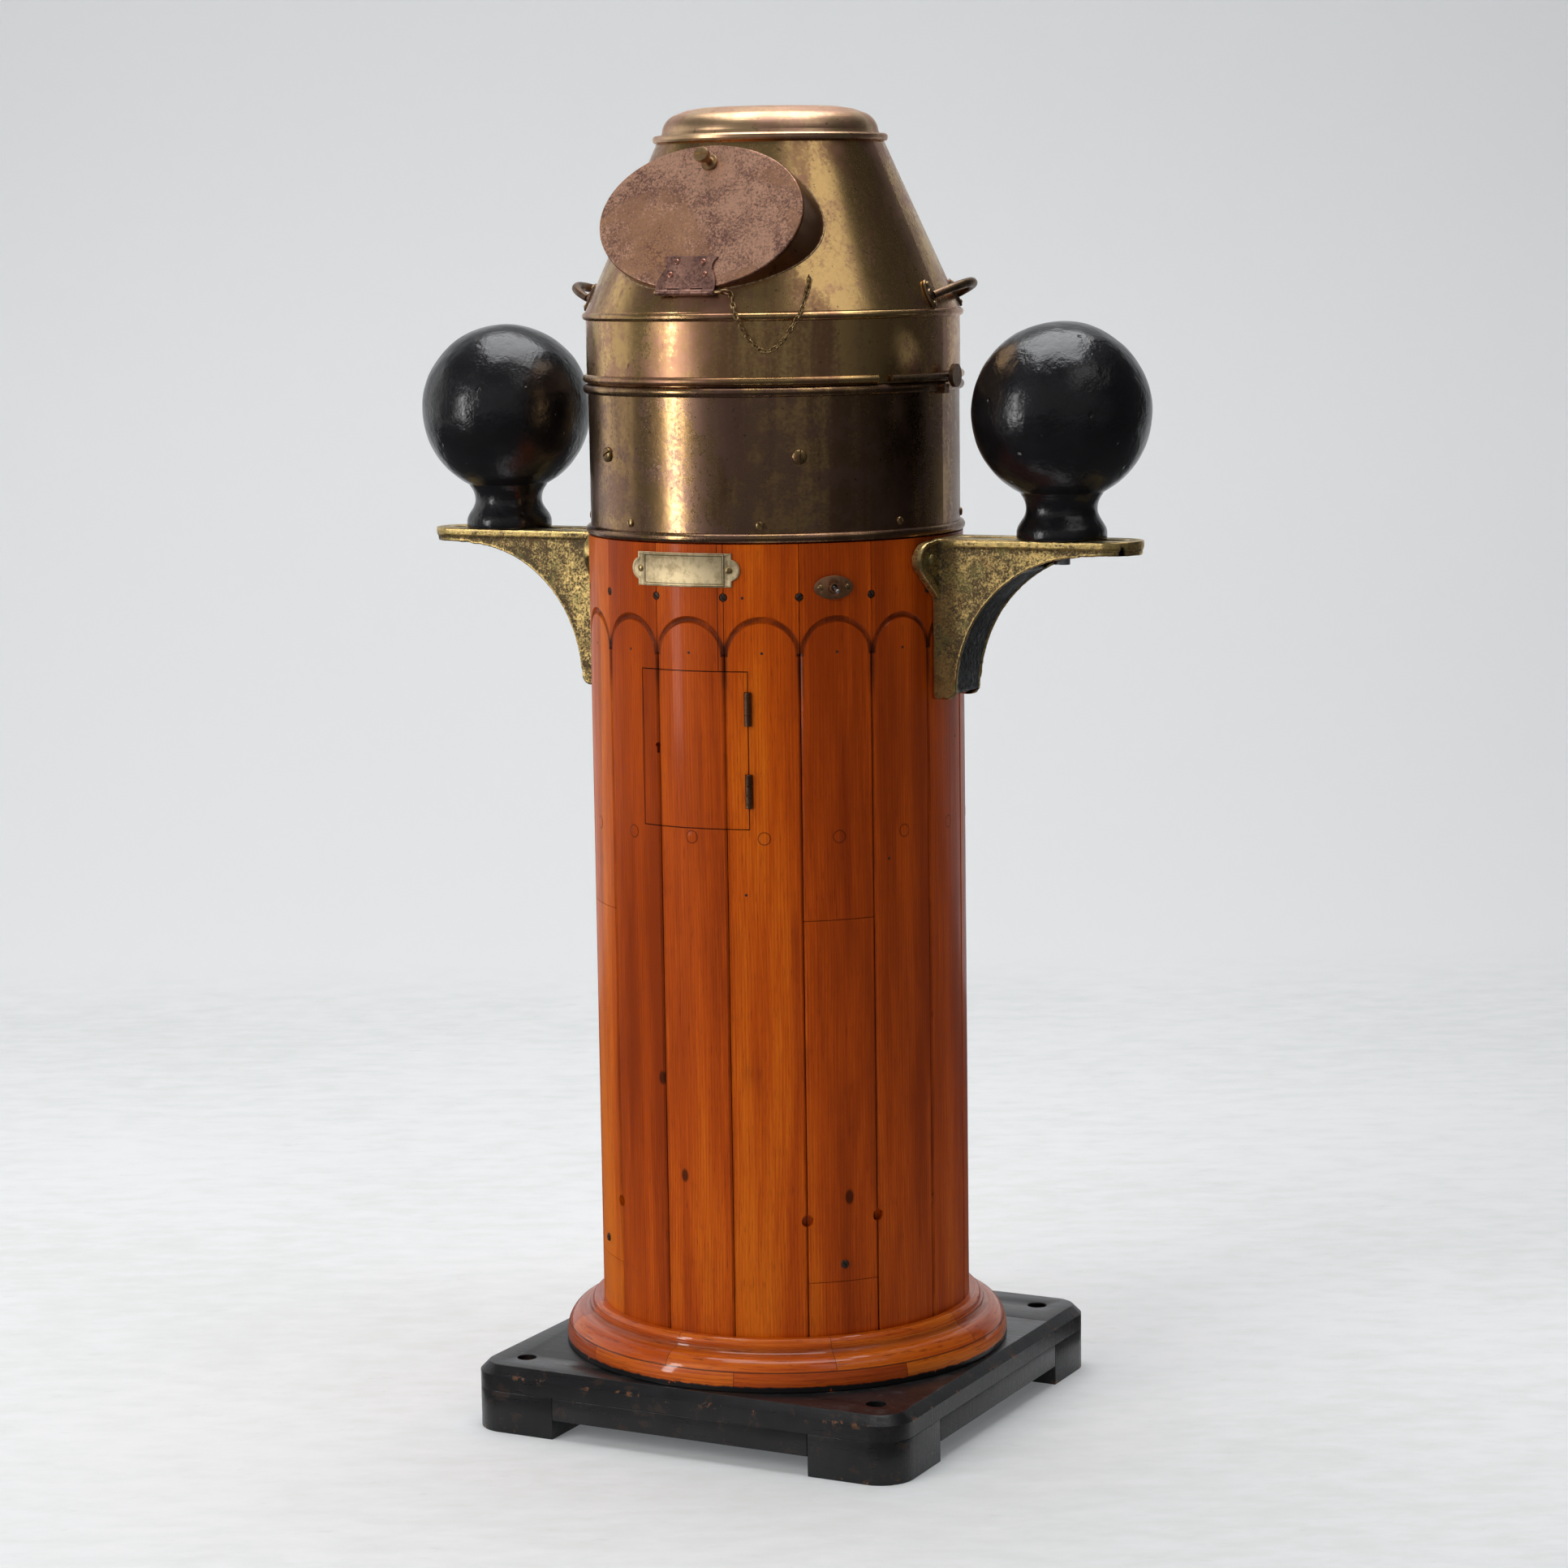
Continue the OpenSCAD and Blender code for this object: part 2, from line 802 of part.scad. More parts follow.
// Sphere with the flared foot that slides on the bracket
module corrector_sphere(side) {
  translate([side * sphere_x, 0, 0]) {
    translate([0, 0, sphere_z]) sphere(r = sphere_r);
    rotate_extrude()
      polygon(concat(
        [[0, foot_z0], [foot_r - 1.5, foot_z0], [foot_r, foot_z0 + 1.5]],
        [for (i = [0:10])
          [neck_r + (foot_r - neck_r) * (1 + cos(18 * i)) / 2,
           foot_z0 + foot_edge_h + (neck_z - foot_z0 - foot_edge_h) * i / 10]],
        [for (i = [1:6]) [neck_r + 7 * pow(i / 6, 2), neck_z + 18 * i / 6]],
        [[0, neck_z + 18]]
      ));
  }
}

module sphere_left() {
  color(cast_black) corrector_sphere(-1);
}

module sphere_right() {
  color(cast_black) corrector_sphere(1);
}

module sphere_bolt(side) {
  plate_under = bracket_z - plate_top_t;
  translate([side * sphere_x, 0, 0]) {
    translate([0, 0, plate_under - 18]) cylinder(r = 8, h = 18 + plate_top_t + 0.2);
    translate([0, 0, plate_under - 2.8]) cylinder(r = 14.5, h = 2.5);
    translate([0, 0, plate_under - 12]) cylinder(r = 12.5, h = 9.2, $fn = 6);
  }
}

module sphere_bolt_left() {
  color(steel) sphere_bolt(-1);
}

module sphere_bolt_right() {
  color(steel) sphere_bolt(1);
}

// ---------- compass drum ----------

drum_wall = 3;
drum_z0 = column_top + 0.1;
drum_inner_r = drum_r - drum_wall;
bead_r = 5;
big_screw_th = 34.5;
big_screw_z = 988;
rim_screw_z = 922;

module compass_drum() {
  color(old_brass)
    difference() {
      union() {
        rotate_extrude()
          polygon(concat(
            [[166.5, drum_z0], [drum_r, drum_z0]],
            arc(drum_r - 0.2, drum_z0 + 5.4, bead_r, -80, 90, 10),
            arc(drum_r, drum_top_z - 5.2, bead_r, -90, 80, 10),
            [[drum_inner_r + 0.4, drum_top_z], [drum_inner_r + 0.4, drum_top_z + 12],
             [drum_inner_r - 2.5, drum_top_z + 12], [drum_inner_r - 2.5, drum_top_z - 6],
             [drum_inner_r, drum_top_z - 9], [drum_inner_r, drum_z0 + 3], [166.5, drum_z0 + 3]]
          ));
        // lug that the helmet's bolt passes over
        at(87.5, drum_r + 1, drum_top_z - 12) translate([0, -5, 0]) cube([8, 10, 9]);
      }
      for (i = [0:7]) at((i + 0.5) * 45, 0, rim_screw_z) pin_x(2.3, 180, 195);
      for (side = [-1, 1], turn = [0, 180])
        at(turn + side * big_screw_th, 0, big_screw_z) pin_x(4.3, 180, 195);
    }
}

module drum_seat_ring() {
  color(pale_wood)
    difference() {
      ring(158, drum_inner_r - 0.3, drum_z0 + 3.1, drum_z0 + 31);
      for (i = [0:7]) at((i + 0.5) * 45, 0, rim_screw_z) pin_x(2.3, 170, 195);
    }
}

module drum_screws() {
  color(brass) {
    for (i = [0:7]) at((i + 0.5) * 45, drum_r + 0.1, rim_screw_z) screw_x(4.6, 2.4, 2.1, 14);
    for (side = [-1, 1], turn = [0, 180])
      at(turn + side * big_screw_th, drum_r + 0.1, big_screw_z) screw_x(8, 3, 4, 8);
  }
}

module gimbal_support_ring() {
  lug_half_w = 9;
  color(brass)
    difference() {
      union() {
        ring(172, drum_inner_r - 0.3, big_screw_z - 10, big_screw_z + 10);
        for (turn = [0, 180])
          at(turn, 0, 0)
            translate([156, -lug_half_w, big_screw_z - 10]) cube([18, 2 * lug_half_w, 40]);
      }
      for (turn = [0, 180]) at(turn, 0, gimbal_z) pin_x(3 + run_fit, 150, 180);
      for (side = [-1, 1], turn = [0, 180])
        at(turn + side * big_screw_th, 0, big_screw_z) pin_x(4.3, 165, 195);
    }
}

gimbal_r0 = 141;
gimbal_r1 = 149;

module gimbal_ring() {
  color(brass)
    difference() {
      union() {
        ring(gimbal_r0, gimbal_r1, gimbal_z - 7, gimbal_z + 7);
        for (turn = [0, 180]) at(turn, 0, gimbal_z) pin_x(3, gimbal_r1 - 1, 170);
      }
      for (turn = [90, 270]) at(turn, 0, gimbal_z) pin_x(3 + run_fit, 130, 160);
    }
}

module compass_bowl() {
  wall = 5;
  color(brass) {
    rotate_extrude()
      polygon([[0, 936], [55, 936], [88, 948], [112, 975], [bowl_r, 1000], [bowl_r, 1032],
               [bowl_r + 8, 1033], [bowl_r + 8, 1036], [bowl_r - wall, 1036], [bowl_r - wall, 1001],
               [112 - wall, 978], [86, 953], [54, 941], [0, 941]]);
    for (turn = [90, 270]) at(turn, 0, gimbal_z) pin_x(3, bowl_r - 1, gimbal_r1 - 1);
  }
}

module bowl_bezel() {
  color(brass) ring(bowl_r - 10, bowl_r + 6, 1036.1, 1041);
}

module bowl_glass() {
  color(glass) ring(0, bowl_r - 5.3, 1031.5, 1035.9);
}

module compass_card() {
  color("white")
    difference() {
      union() {
        ring(0, card_r, 1016, 1017);
        ring(0, 16, 1004, 1016.5);
        for (x = [-24, -12, 12, 24]) translate([x - 1.5, -60, 1012]) cube([3, 120, 4.2]);
      }
      translate([0, 0, 1000]) cylinder(r = 4, h = 12);
    }
}

module card_pivot() {
  color(steel) {
    translate([0, 0, 941.1]) cylinder(r = 10, h = 6);
    translate([0, 0, 947]) cylinder(r = 2.2, h = 57);
    translate([0, 0, 1004]) cylinder(r1 = 2.2, r2 = 0.3, h = 7.5);
  }
}

// ---------- helmet ----------

helmet_z0 = drum_top_z + 0.5;
shell_t = 2.6;
band_bead_z = helmet_z0 + 4.6;
cone_bead_z = band_top_z - 5;
lock_gap_th0 = 59.5;
lock_gap_th1 = 94;
lock_bolt_th0 = 63.8;
lock_bolt_th1 = 91.8;
lock_rod_r = 3.2;
lock_rod_at = band_r + 0.4 + lock_rod_r;

// Solid bounded by the helmet's outside, moved in by an inset
module helmet_core(inset) {
  rotate_extrude()
    polygon([[0, 1000], [band_r - inset, 1000], [band_r - inset, band_top_z],
             [cone_top_r - inset, cone_top_z + 0.1], [0, cone_top_z + 0.1]]);
}

module helmet_shell() {
  color(old_brass)
    difference() {
      rotate_extrude()
        polygon(concat(
          [[band_r - shell_t, helmet_z0], [band_r, helmet_z0]],
          arc(band_r, band_bead_z, 4.2, -85, 90, 10),
          arc(band_r - 0.4, cone_bead_z, 4.2, -85, 85, 10),
          [[band_r, band_top_z], [cone_top_r, cone_top_z],
           [cone_top_r - shell_t - 0.3, cone_top_z], [band_r - shell_t, band_top_z - 0.6]]
        ));
      // the bead is cut away where the locking bolt runs
      sector(band_r + 0.05, band_r + 20, helmet_z0 - 1, band_bead_z + 4.5, lock_gap_th0,
             lock_gap_th1);
      on_lid() oval(spout_a + 0.15, spout_b + 0.15, -75, 12);
    }
}

module helmet_cap() {
  z = cone_top_z + 0.1;
  shoulder_x = 88;
  shoulder_z = 1302;
  shoulder_r = 20.5;
  outer = concat(
    [[cone_top_r - 4, z], [cone_top_r + 3.2, z], [cone_top_r + 4, z + 2], [cone_top_r + 4, z + 5],
     [cone_top_r + 2.5, z + 6.5], [109.5, z + 7]],
    arc(shoulder_x, shoulder_z, shoulder_r, 5, 68, 10),
    [[84, 1325.2], [71, 1327.4], [50, 1328.2], [0, cap_top_z]]
  );
  inner = concat(
    [[0, cap_top_z - 2], [50, 1326.2], [71, 1325.4], [83, 1323.2]],
    arc(shoulder_x, shoulder_z, shoulder_r - 2, 68, 5, 10),
    [[cone_top_r - 6.5, z + 4], [cone_top_r - 6.5, z]]
  );
  color(old_brass) rotate_extrude() polygon(concat(outer, inner));
}

spout_a = lid_a + 0.7;
spout_b = lid_b + 0.7;
spout_wall = 2.4;
pane_w = -13;

// Oval collar that stands square to the cone's face and carries the window
module window_spout() {
  color(old_brass)
    difference() {
      on_lid()
        difference() {
          oval(spout_a, spout_b, -64, -3.4);
          oval(spout_a - spout_wall, spout_b - spout_wall, -65, 0);
        }
      intersection() {
        helmet_core(shell_t + 0.1);
        on_lid() translate([-200, -200, -300]) cube([400, 400, 300 - 16]);
      }
    }
}

module window_glass() {
  color(glass) on_lid() oval(spout_a - spout_wall - 0.2, spout_b - spout_wall - 0.2, pane_w, pane_w + 3);
}

knob_v = 57;
lid_t = 3;

module window_lid() {
  color(old_brass)
    on_lid()
      difference() {
        oval(lid_a, lid_b, -lid_t, 0);
        translate([0, knob_v, -10]) cylinder(r = 3 + run_fit, h = 20);
      }
}

axis_v = -79.3;
axis_w = -0.3;
lid_knuckle_r = 3;
lid_knuckle_w = 12.8;
lid_hinge_half = 2.5 * lid_knuckle_w;

// Knuckles along the lid's hinge, numbered from the left
module lid_knuckles(numbers) {
  for (n = numbers)
    translate([-lid_hinge_half + n * lid_knuckle_w + 0.15, axis_v, axis_w])
      rotate([0, 90, 0]) cylinder(r = lid_knuckle_r, h = lid_knuckle_w - 0.3);
}

module lid_pin_bore() {
  translate([-lid_hinge_half - 5, axis_v, axis_w])
    rotate([0, 90, 0]) cylinder(r = 1.5 + run_fit, h = 2 * lid_hinge_half + 10);
}

module lid_hinge_leaf() {
  leaf_top = -42;
  color(old_brass)
    on_lid()
      difference() {
        union() {
          translate([0, 0, 0.05]) linear_extrude(1.8)
            polygon(concat(
              [[-27, leaf_top], [27, leaf_top]],
              arc(35, -52, 10, 120, 232, 8),
              [[lid_hinge_half, -70], [lid_hinge_half, axis_v], [-lid_hinge_half, axis_v],
               [-lid_hinge_half, -70]],
              arc(-35, -52, 10, -52, 60, 8)
            ));
          lid_knuckles([0, 2, 4]);
        }
        // room for the fixed knuckles
        for (n = [1, 3])
          translate([-lid_hinge_half + n * lid_knuckle_w - 0.15, axis_v - 4, -5])
            cube([lid_knuckle_w + 0.3, 7.6, 10]);
        lid_pin_bore();
      }
}

module spout_hinge_leaf() {
  color(old_brass)
    difference() {
      on_lid()
        difference() {
          union() {
            translate([-30, -79.2, -30]) cube([60, 1.6, 30 - 3.7]);
            for (n = [1, 3])
              translate([-lid_hinge_half + n * lid_knuckle_w + 0.15, -79.2, -12])
                cube([lid_knuckle_w - 0.3, 1.6, 11.7]);
            lid_knuckles([1, 3]);
          }
          lid_pin_bore();
        }
      helmet_core(-0.1);
    }
}

ring_eye_u = 44;

module lid_hinge_pin() {
  color(brass)
    on_lid() translate([0, axis_v, axis_w]) {
      translate([-lid_hinge_half - 2, 0, 0]) rotate([0, 90, 0])
        cylinder(r = 1.5, h = lid_hinge_half + 2 + ring_eye_u - 4);
      translate([ring_eye_u, 0, 0]) rotate([90, 0, 0])
        rotate_extrude() translate([4.6, 0]) circle(r = 1.3);
    }
}

module lid_knob() {
  color(brass)
    on_lid() translate([0, knob_v, 0]) {
      translate([0, 0, 0.1]) cylinder(r = 8.5, h = 2.2);
      translate([0, 0, -6.6]) cylinder(r = 3, h = 8);
      translate([0, 0, 2]) cylinder(r = 4.2, h = 14);
      translate([0, 0, 15]) cylinder(r = 7.7, h = 6);
      // tongue that holds the lid shut
      translate([-4, -4, -6.6]) cube([8, 18, 3.2]);
    }
}

// ---------- chain that keeps the hinge pin ----------

chain_low = [25.5, 1089.8];
chain_start = [14.6, 1144];
chain_end = [38.8, 1155];
chain_left_power = 2.1;
chain_right_power = 1.7;
chain_stand_off = 3.1;
chain_wire_r = 0.7;
link_bend_r = 1.9;
link_straight = 3.6;
link_pitch = 5.85;

// Height of the hanging chain at an angle round the helmet
function chain_z(th) = th < chain_low[0]
  ? chain_low[1] + (chain_start[1] - chain_low[1])
    * pow((chain_low[0] - th) / (chain_low[0] - chain_start[0]), chain_left_power)
  : chain_low[1] + (chain_end[1] - chain_low[1])
    * pow((th - chain_low[0]) / (chain_end[0] - chain_low[0]), chain_right_power);

// Radius of the surface that the chain lies on, smoothed over the bead
function chain_r(z) =
  let (bead_lift = 4.2 * max(0, 1 - abs(z - cone_bead_z) / 14))
    (z < band_top_z ? band_r : cone_r(z)) + bead_lift + chain_stand_off;

function chain_point(th) = let (z = chain_z(th), r = chain_r(z)) [r * sin(th), -r * cos(th), z];

chain_steps = 120;
chain_ths = [for (i = [0:chain_steps])
  chain_start[0] + (chain_end[0] - chain_start[0]) * i / chain_steps];
chain_points = [for (th = chain_ths) chain_point(th)];

// Running length at each step of the chain
function run_lengths(points, i = 0, sum = 0, out = []) =
  i == len(points) ? out
  : let (next = sum + (i == 0 ? 0 : norm(points[i] - points[i - 1])))
    run_lengths(points, i + 1, next, concat(out, [next]));

chain_lengths = run_lengths(chain_points);
chain_table = [for (i = [0:chain_steps]) [chain_lengths[i], chain_ths[i]]];
link_count = floor(chain_lengths[chain_steps] / link_pitch);

module chain_link() {
  for (side = [-1, 1]) {
    translate([side * link_straight / 2, 0, 0]) rotate([0, 0, side > 0 ? -90 : 90])
      rotate_extrude(angle = 180) translate([link_bend_r, 0]) circle(r = chain_wire_r, $fn = 16);
    translate([-link_straight / 2, side * link_bend_r, 0]) rotate([0, 90, 0])
      cylinder(r = chain_wire_r, h = link_straight, $fn = 16);
  }
}

module retaining_chain() {
  color(brass)
    for (i = [0:link_count - 1]) {
      s = (i + 0.5) * link_pitch;
      a = chain_point(lookup(s - link_pitch / 2, chain_table));
      b = chain_point(lookup(s + link_pitch / 2, chain_table));
      d = b - a;
      translate((a + b) / 2)
        rotate([0, -atan2(d[2], norm([d[0], d[1]])), atan2(d[1], d[0])])
          rotate([i % 2 == 0 ? 45 : -45, 0, 0]) chain_link();
    }
}

// ---------- handles and helmet lock ----------

handle_z = 1141;
bail_r = 50.3;
bail_out = 27;
bail_half_angle = 64;
bail_wire_r = 5;
handle_foot_th = 14.6;
cone_tilt = atan(cone_slope);

module lifting_handle(th) {
  $fn = 36;
  at(th, cone_r(handle_z), handle_z) rotate([0, -cone_tilt, 0])
    translate([bail_out - bail_r, 0, 0]) rotate([0, 0, -bail_half_angle])
      rotate_extrude(angle = 2 * bail_half_angle) translate([bail_r, 0]) circle(r = bail_wire_r);
  for (side = [-1, 1])
    at(th + side * handle_foot_th, cone_r(handle_z), handle_z) rotate([0, -cone_tilt, 0]) {
      translate([0.15, -6, -9]) cube([3.25, 12, 18]);
      for (z = [-9, 9]) translate([0, 0, z]) pin_x(6, 0.15, 3.4);
      for (z = [-10, 10]) translate([0, 0, z]) pin_x(2.4, 3, 5);
    }
}
module helmet_handles() {
  color(old_brass)
    for (turn = [0, 180]) lifting_handle(handle_th + turn);
}

module helmet_lock_bolt() {
  color(old_brass) {
    rotate([0, 0, lock_bolt_th0 - 90])
      rotate_extrude(angle = lock_bolt_th1 - lock_bolt_th0)
        translate([lock_rod_at, band_bead_z]) circle(r = lock_rod_r);
    at(lock_bolt_th1, lock_rod_at, band_bead_z) {
      pin_x(4.2, -3, 5);
      pin_x(11.5, 4.5, 9);
    }
  }
}

// ---------- nodes ----------

base_board_front();
base_board_rear();
base_rails();
base_feet();
foot_ring_lower();
foot_ring_upper();
column_staves();
column_screws();
pedestal_floor();
pedestal_top_disc();
magnet_shelf();
magnet_rack_left();
magnet_rack_right();
corrector_magnets();
heeling_tube();
heeling_bucket();
magnet_door();
door_hinge_barrels();
frame_hinge_barrels();
door_hinge_pins();
door_lock_case();
door_lock_bolt();
access_panel_left();
access_panel_right();
nameplate();
plate_screws();
switch_plate();
switch_body();
switch_toggle();
lamp_holder();
lamp_bulb();
bracket_left();
bracket_right();
bracket_rivets();
sphere_left();
sphere_right();
sphere_bolt_left();
sphere_bolt_right();
compass_drum();
drum_seat_ring();
drum_screws();
gimbal_support_ring();
gimbal_ring();
compass_bowl();
bowl_bezel();
bowl_glass();
compass_card();
card_pivot();
helmet_shell();
helmet_cap();
window_spout();
window_glass();
window_lid();
lid_hinge_leaf();
spout_hinge_leaf();
lid_hinge_pin();
lid_knob();
retaining_chain();
helmet_handles();
helmet_lock_bolt();
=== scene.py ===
"""Looks of a binnacle compass: varnished teak, tarnished brass, cast iron and black paint."""

import json
import math
from contextlib import contextmanager

import bmesh
import bpy
import numpy as np
from mathutils import Matrix, Vector
from mathutils import noise as lumps

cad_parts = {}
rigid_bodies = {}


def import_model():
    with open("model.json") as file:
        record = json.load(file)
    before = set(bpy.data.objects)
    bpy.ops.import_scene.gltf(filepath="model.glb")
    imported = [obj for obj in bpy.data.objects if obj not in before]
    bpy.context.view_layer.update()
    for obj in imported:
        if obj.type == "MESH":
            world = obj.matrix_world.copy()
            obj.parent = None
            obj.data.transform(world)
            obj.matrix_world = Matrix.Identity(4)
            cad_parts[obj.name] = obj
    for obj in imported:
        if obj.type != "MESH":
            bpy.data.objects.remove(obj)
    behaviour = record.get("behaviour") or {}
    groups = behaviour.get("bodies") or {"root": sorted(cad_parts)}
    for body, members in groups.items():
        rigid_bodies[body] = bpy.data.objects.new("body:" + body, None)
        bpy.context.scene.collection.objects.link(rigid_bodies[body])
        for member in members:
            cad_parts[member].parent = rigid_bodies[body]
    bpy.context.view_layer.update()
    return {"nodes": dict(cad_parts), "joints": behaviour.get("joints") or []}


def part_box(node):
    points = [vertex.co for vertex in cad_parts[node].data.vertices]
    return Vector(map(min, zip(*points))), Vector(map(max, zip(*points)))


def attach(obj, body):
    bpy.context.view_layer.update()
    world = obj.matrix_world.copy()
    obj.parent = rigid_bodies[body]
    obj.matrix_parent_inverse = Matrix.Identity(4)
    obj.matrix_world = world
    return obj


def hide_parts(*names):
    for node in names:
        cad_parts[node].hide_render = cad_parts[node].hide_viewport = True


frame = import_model()
NODES = frame["nodes"]
MM = 0.001


# ---------- shader writing ----------


class Sock:
    """A node output that takes part in arithmetic: each operator adds one Math node."""

    def __init__(self, tree, socket):
        self.tree, self.socket = tree, socket

    def math(self, operation, *values):
        node = self.tree.nodes.new("ShaderNodeMath")
        node.operation = operation
        for slot, value in zip(node.inputs, values):
            fill(self.tree, slot, value)
        return Sock(self.tree, node.outputs[0])

    def __neg__(self):
        return self.math("MULTIPLY", self, -1.0)


def fill(tree, slot, value):
    """Links a Sock to a slot, or puts a plain value there."""
    if isinstance(value, Sock):
        tree.links.new(value.socket, slot)
    else:
        slot.default_value = value


def math_method(operation, swapped=False):
    """A method of Sock that adds one Math node."""

    def method(*values):
        return values[0].math(operation, *(values[::-1] if swapped else values))

    return method


OPERATORS = {"add": "ADD", "sub": "SUBTRACT", "mul": "MULTIPLY", "truediv": "DIVIDE"}
METHODS = {"__abs__": "ABSOLUTE", "power": "POWER", "floor": "FLOOR", "root": "SQRT",
           "sine": "SINE", "least": "MINIMUM", "most": "MAXIMUM", "over": "GREATER_THAN",
           "under": "LESS_THAN"}
for name, operation in OPERATORS.items():
    setattr(Sock, f"__{name}__", math_method(operation))
    setattr(Sock, f"__r{name}__", math_method(operation, swapped=True))
for name, operation in METHODS.items():
    setattr(Sock, name, math_method(operation))


class Finish:
    """One material under construction, on Object coordinates in metres."""

    def __init__(self, name):
        self.material = bpy.data.materials.new(name)
        self.material.use_nodes = True
        self.tree = self.material.node_tree
        self.shader = self.tree.nodes["Principled BSDF"]
        self.place = self.result("ShaderNodeTexCoord", "Object")
        parts = self.node("ShaderNodeSeparateXYZ", Vector=self.place)
        self.x, self.y, self.z = (Sock(self.tree, parts.outputs[i]) for i in range(3))

    def node(self, kind, settings=None, **sockets):
        """A node of any kind: its settings first, then its sockets, as numbers or links."""
        made = self.tree.nodes.new(kind)
        for key, value in (settings or {}).items():
            setattr(made, key, value)
        for key, value in sockets.items():
            fill(self.tree, made.inputs[key.replace("_", " ")], value)
        return made

    def result(self, kind, output=0, settings=None, **sockets):
        """One output of a new node, ready for arithmetic."""
        return Sock(self.tree, self.node(kind, settings, **sockets).outputs[output])

    def set(self, **sockets):
        """Sets inputs of the Principled shader."""
        for key, value in sockets.items():
            if isinstance(value, tuple) and len(value) == 3:
                value = (*value, 1.0)
            fill(self.tree, self.shader.inputs[key.replace("_", " ")], value)

    def point(self, x, y, z):
        return self.result("ShaderNodeCombineXYZ", X=x, Y=y, Z=z)

    def stretched(self, *scale):
        return self.result("ShaderNodeMapping", 0, {"vector_type": "POINT"}, Vector=self.place,
                           Scale=scale)

    def noise(self, scale, detail=3.0, rough=0.5, at=None, distortion=0.0):
        return self.result("ShaderNodeTexNoise", "Fac", Vector=at or self.place, Scale=scale,
                           Detail=detail, Roughness=rough, Distortion=distortion)

    def cells(self, scale, at=None):
        return self.result("ShaderNodeTexVoronoi", "Distance", {"feature": "F1"},
                           Vector=at or self.place, Scale=scale)

    def kept(self, attribute):
        """A number stored on the mesh's points."""
        return self.result("ShaderNodeAttribute", "Fac", {"attribute_name": attribute})

    def chance(self, value):
        return self.result("ShaderNodeTexWhiteNoise", "Value", {"noise_dimensions": "1D"},
                           W=value)

    def fade(self, value, low, high):
        """0 below low, 1 above high, smooth between; low may be the larger."""
        turned = low > high
        if turned:
            low, high = high, low
        share = self.result("ShaderNodeMapRange", 0, {"interpolation_type": "SMOOTHSTEP"},
                            Value=value, From_Min=low, From_Max=high)
        return 1.0 - share if turned else share

    def mix(self, share, first, second):
        """first where share is 0, second where it is 1; both are colours."""
        made = self.node("ShaderNodeMix", {"data_type": "RGBA"})
        for slot, value in ((0, share), (6, first), (7, second)):
            if isinstance(value, tuple):
                value = (*value, 1.0)
            fill(self.tree, made.inputs[slot], value)
        return Sock(self.tree, made.outputs[2])

    def relief(self, height, depth, strength=1.0):
        """Bumps of a depth in metres."""
        return self.result("ShaderNodeBump", Height=height, Strength=strength, Distance=depth)

    def round_the_axis(self):
        """Angle from the front towards +X in radians, and the distance from the axis."""
        angle = self.x.math("ARCTAN2", self.x, -self.y)
        radius = (self.x * self.x + self.y * self.y).root()
        return angle, radius


# ---------- finishes ----------

FINISHES = {}
COLUMN_R = 190 * MM
STAVE_STEP = math.radians(22.5)
ARCH_R = 36 * MM
ARCH_Z = 794.5 * MM
SPRING_Z = 797 * MM
DOOR_TH = (-17.4, 18.2)
DOOR_MID = math.radians((DOOR_TH[0] + DOOR_TH[1]) / 2)
DOOR_HALF = math.radians((DOOR_TH[1] - DOOR_TH[0]) / 2)
DOOR_Z = (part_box("magnet_door")[0].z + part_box("magnet_door")[1].z) / 2
DOOR_RISE = (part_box("magnet_door")[1].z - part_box("magnet_door")[0].z) / 2
PLATE_AT = (-1.9, 879 * MM)  # degrees round the column, and height
FRAME_HALF = (13.4, 14.6)  # degrees, and mm
CRACK_AT = math.radians(9.4)
CRACK_Z = 780 * MM
PLUG_Z = 616 * MM
PLUG_R = 6.1 * MM
TEAK_DEEP = (0.27, 0.034, 0.0010)
TEAK_RED = (0.50, 0.072, 0.0018)
TEAK_GOLD = (0.74, 0.170, 0.0060)


def finish_of(name):
    """Registers the function that makes a finish under a plain name."""

    def keep(make):
        made = Finish(name)
        make(made)
        FINISHES[name] = made.material
        return make

    return keep


def teak(f, u, depth, z, seed, tone_and_side_light):
    """Straight-grained varnished teak: u runs across the grain and z along it."""
    broad = f.noise(30.0, 4.0, 0.60, f.point(u + seed * 7.0, depth, z * 0.07 + seed * 3.0))
    warp = f.noise(9.0, 2.0, 0.5, f.point(u + seed * 5.0, depth, z * 0.35))
    rings = ((u * 1900.0 + warp * 30.0 + seed * 20.0).sine() * 0.5 + 0.5).power(3.0)
    fibre = f.noise(800.0, 5.0, 0.70, f.point(u + seed, depth, z * 0.014))
    pores = f.fade(f.noise(1700.0, 2.0, 0.5, f.point(u + seed, depth, z * 0.030)), 0.58, 0.70)
    heart = f.fade(f.noise(17.0, 3.0, 0.5, f.point(u * 2.2 + seed * 9.0, depth, z * 0.12)),
                   0.60, 0.74)
    shade = broad * 0.62 + fibre * 0.42 - rings * 0.05 + tone_and_side_light
    deep = f.mix(f.fade(shade, 0.36, 0.62), TEAK_DEEP, TEAK_RED)
    honey = f.mix(f.fade(shade, 0.54, 0.80), deep, TEAK_GOLD)
    colour = f.mix(heart * 0.55, honey, (0.20, 0.022, 0.001))
    colour = f.mix(pores * 0.60, colour, (0.16, 0.016, 0.001))
    height = fibre * 0.6 + pores * -0.7
    return colour, height


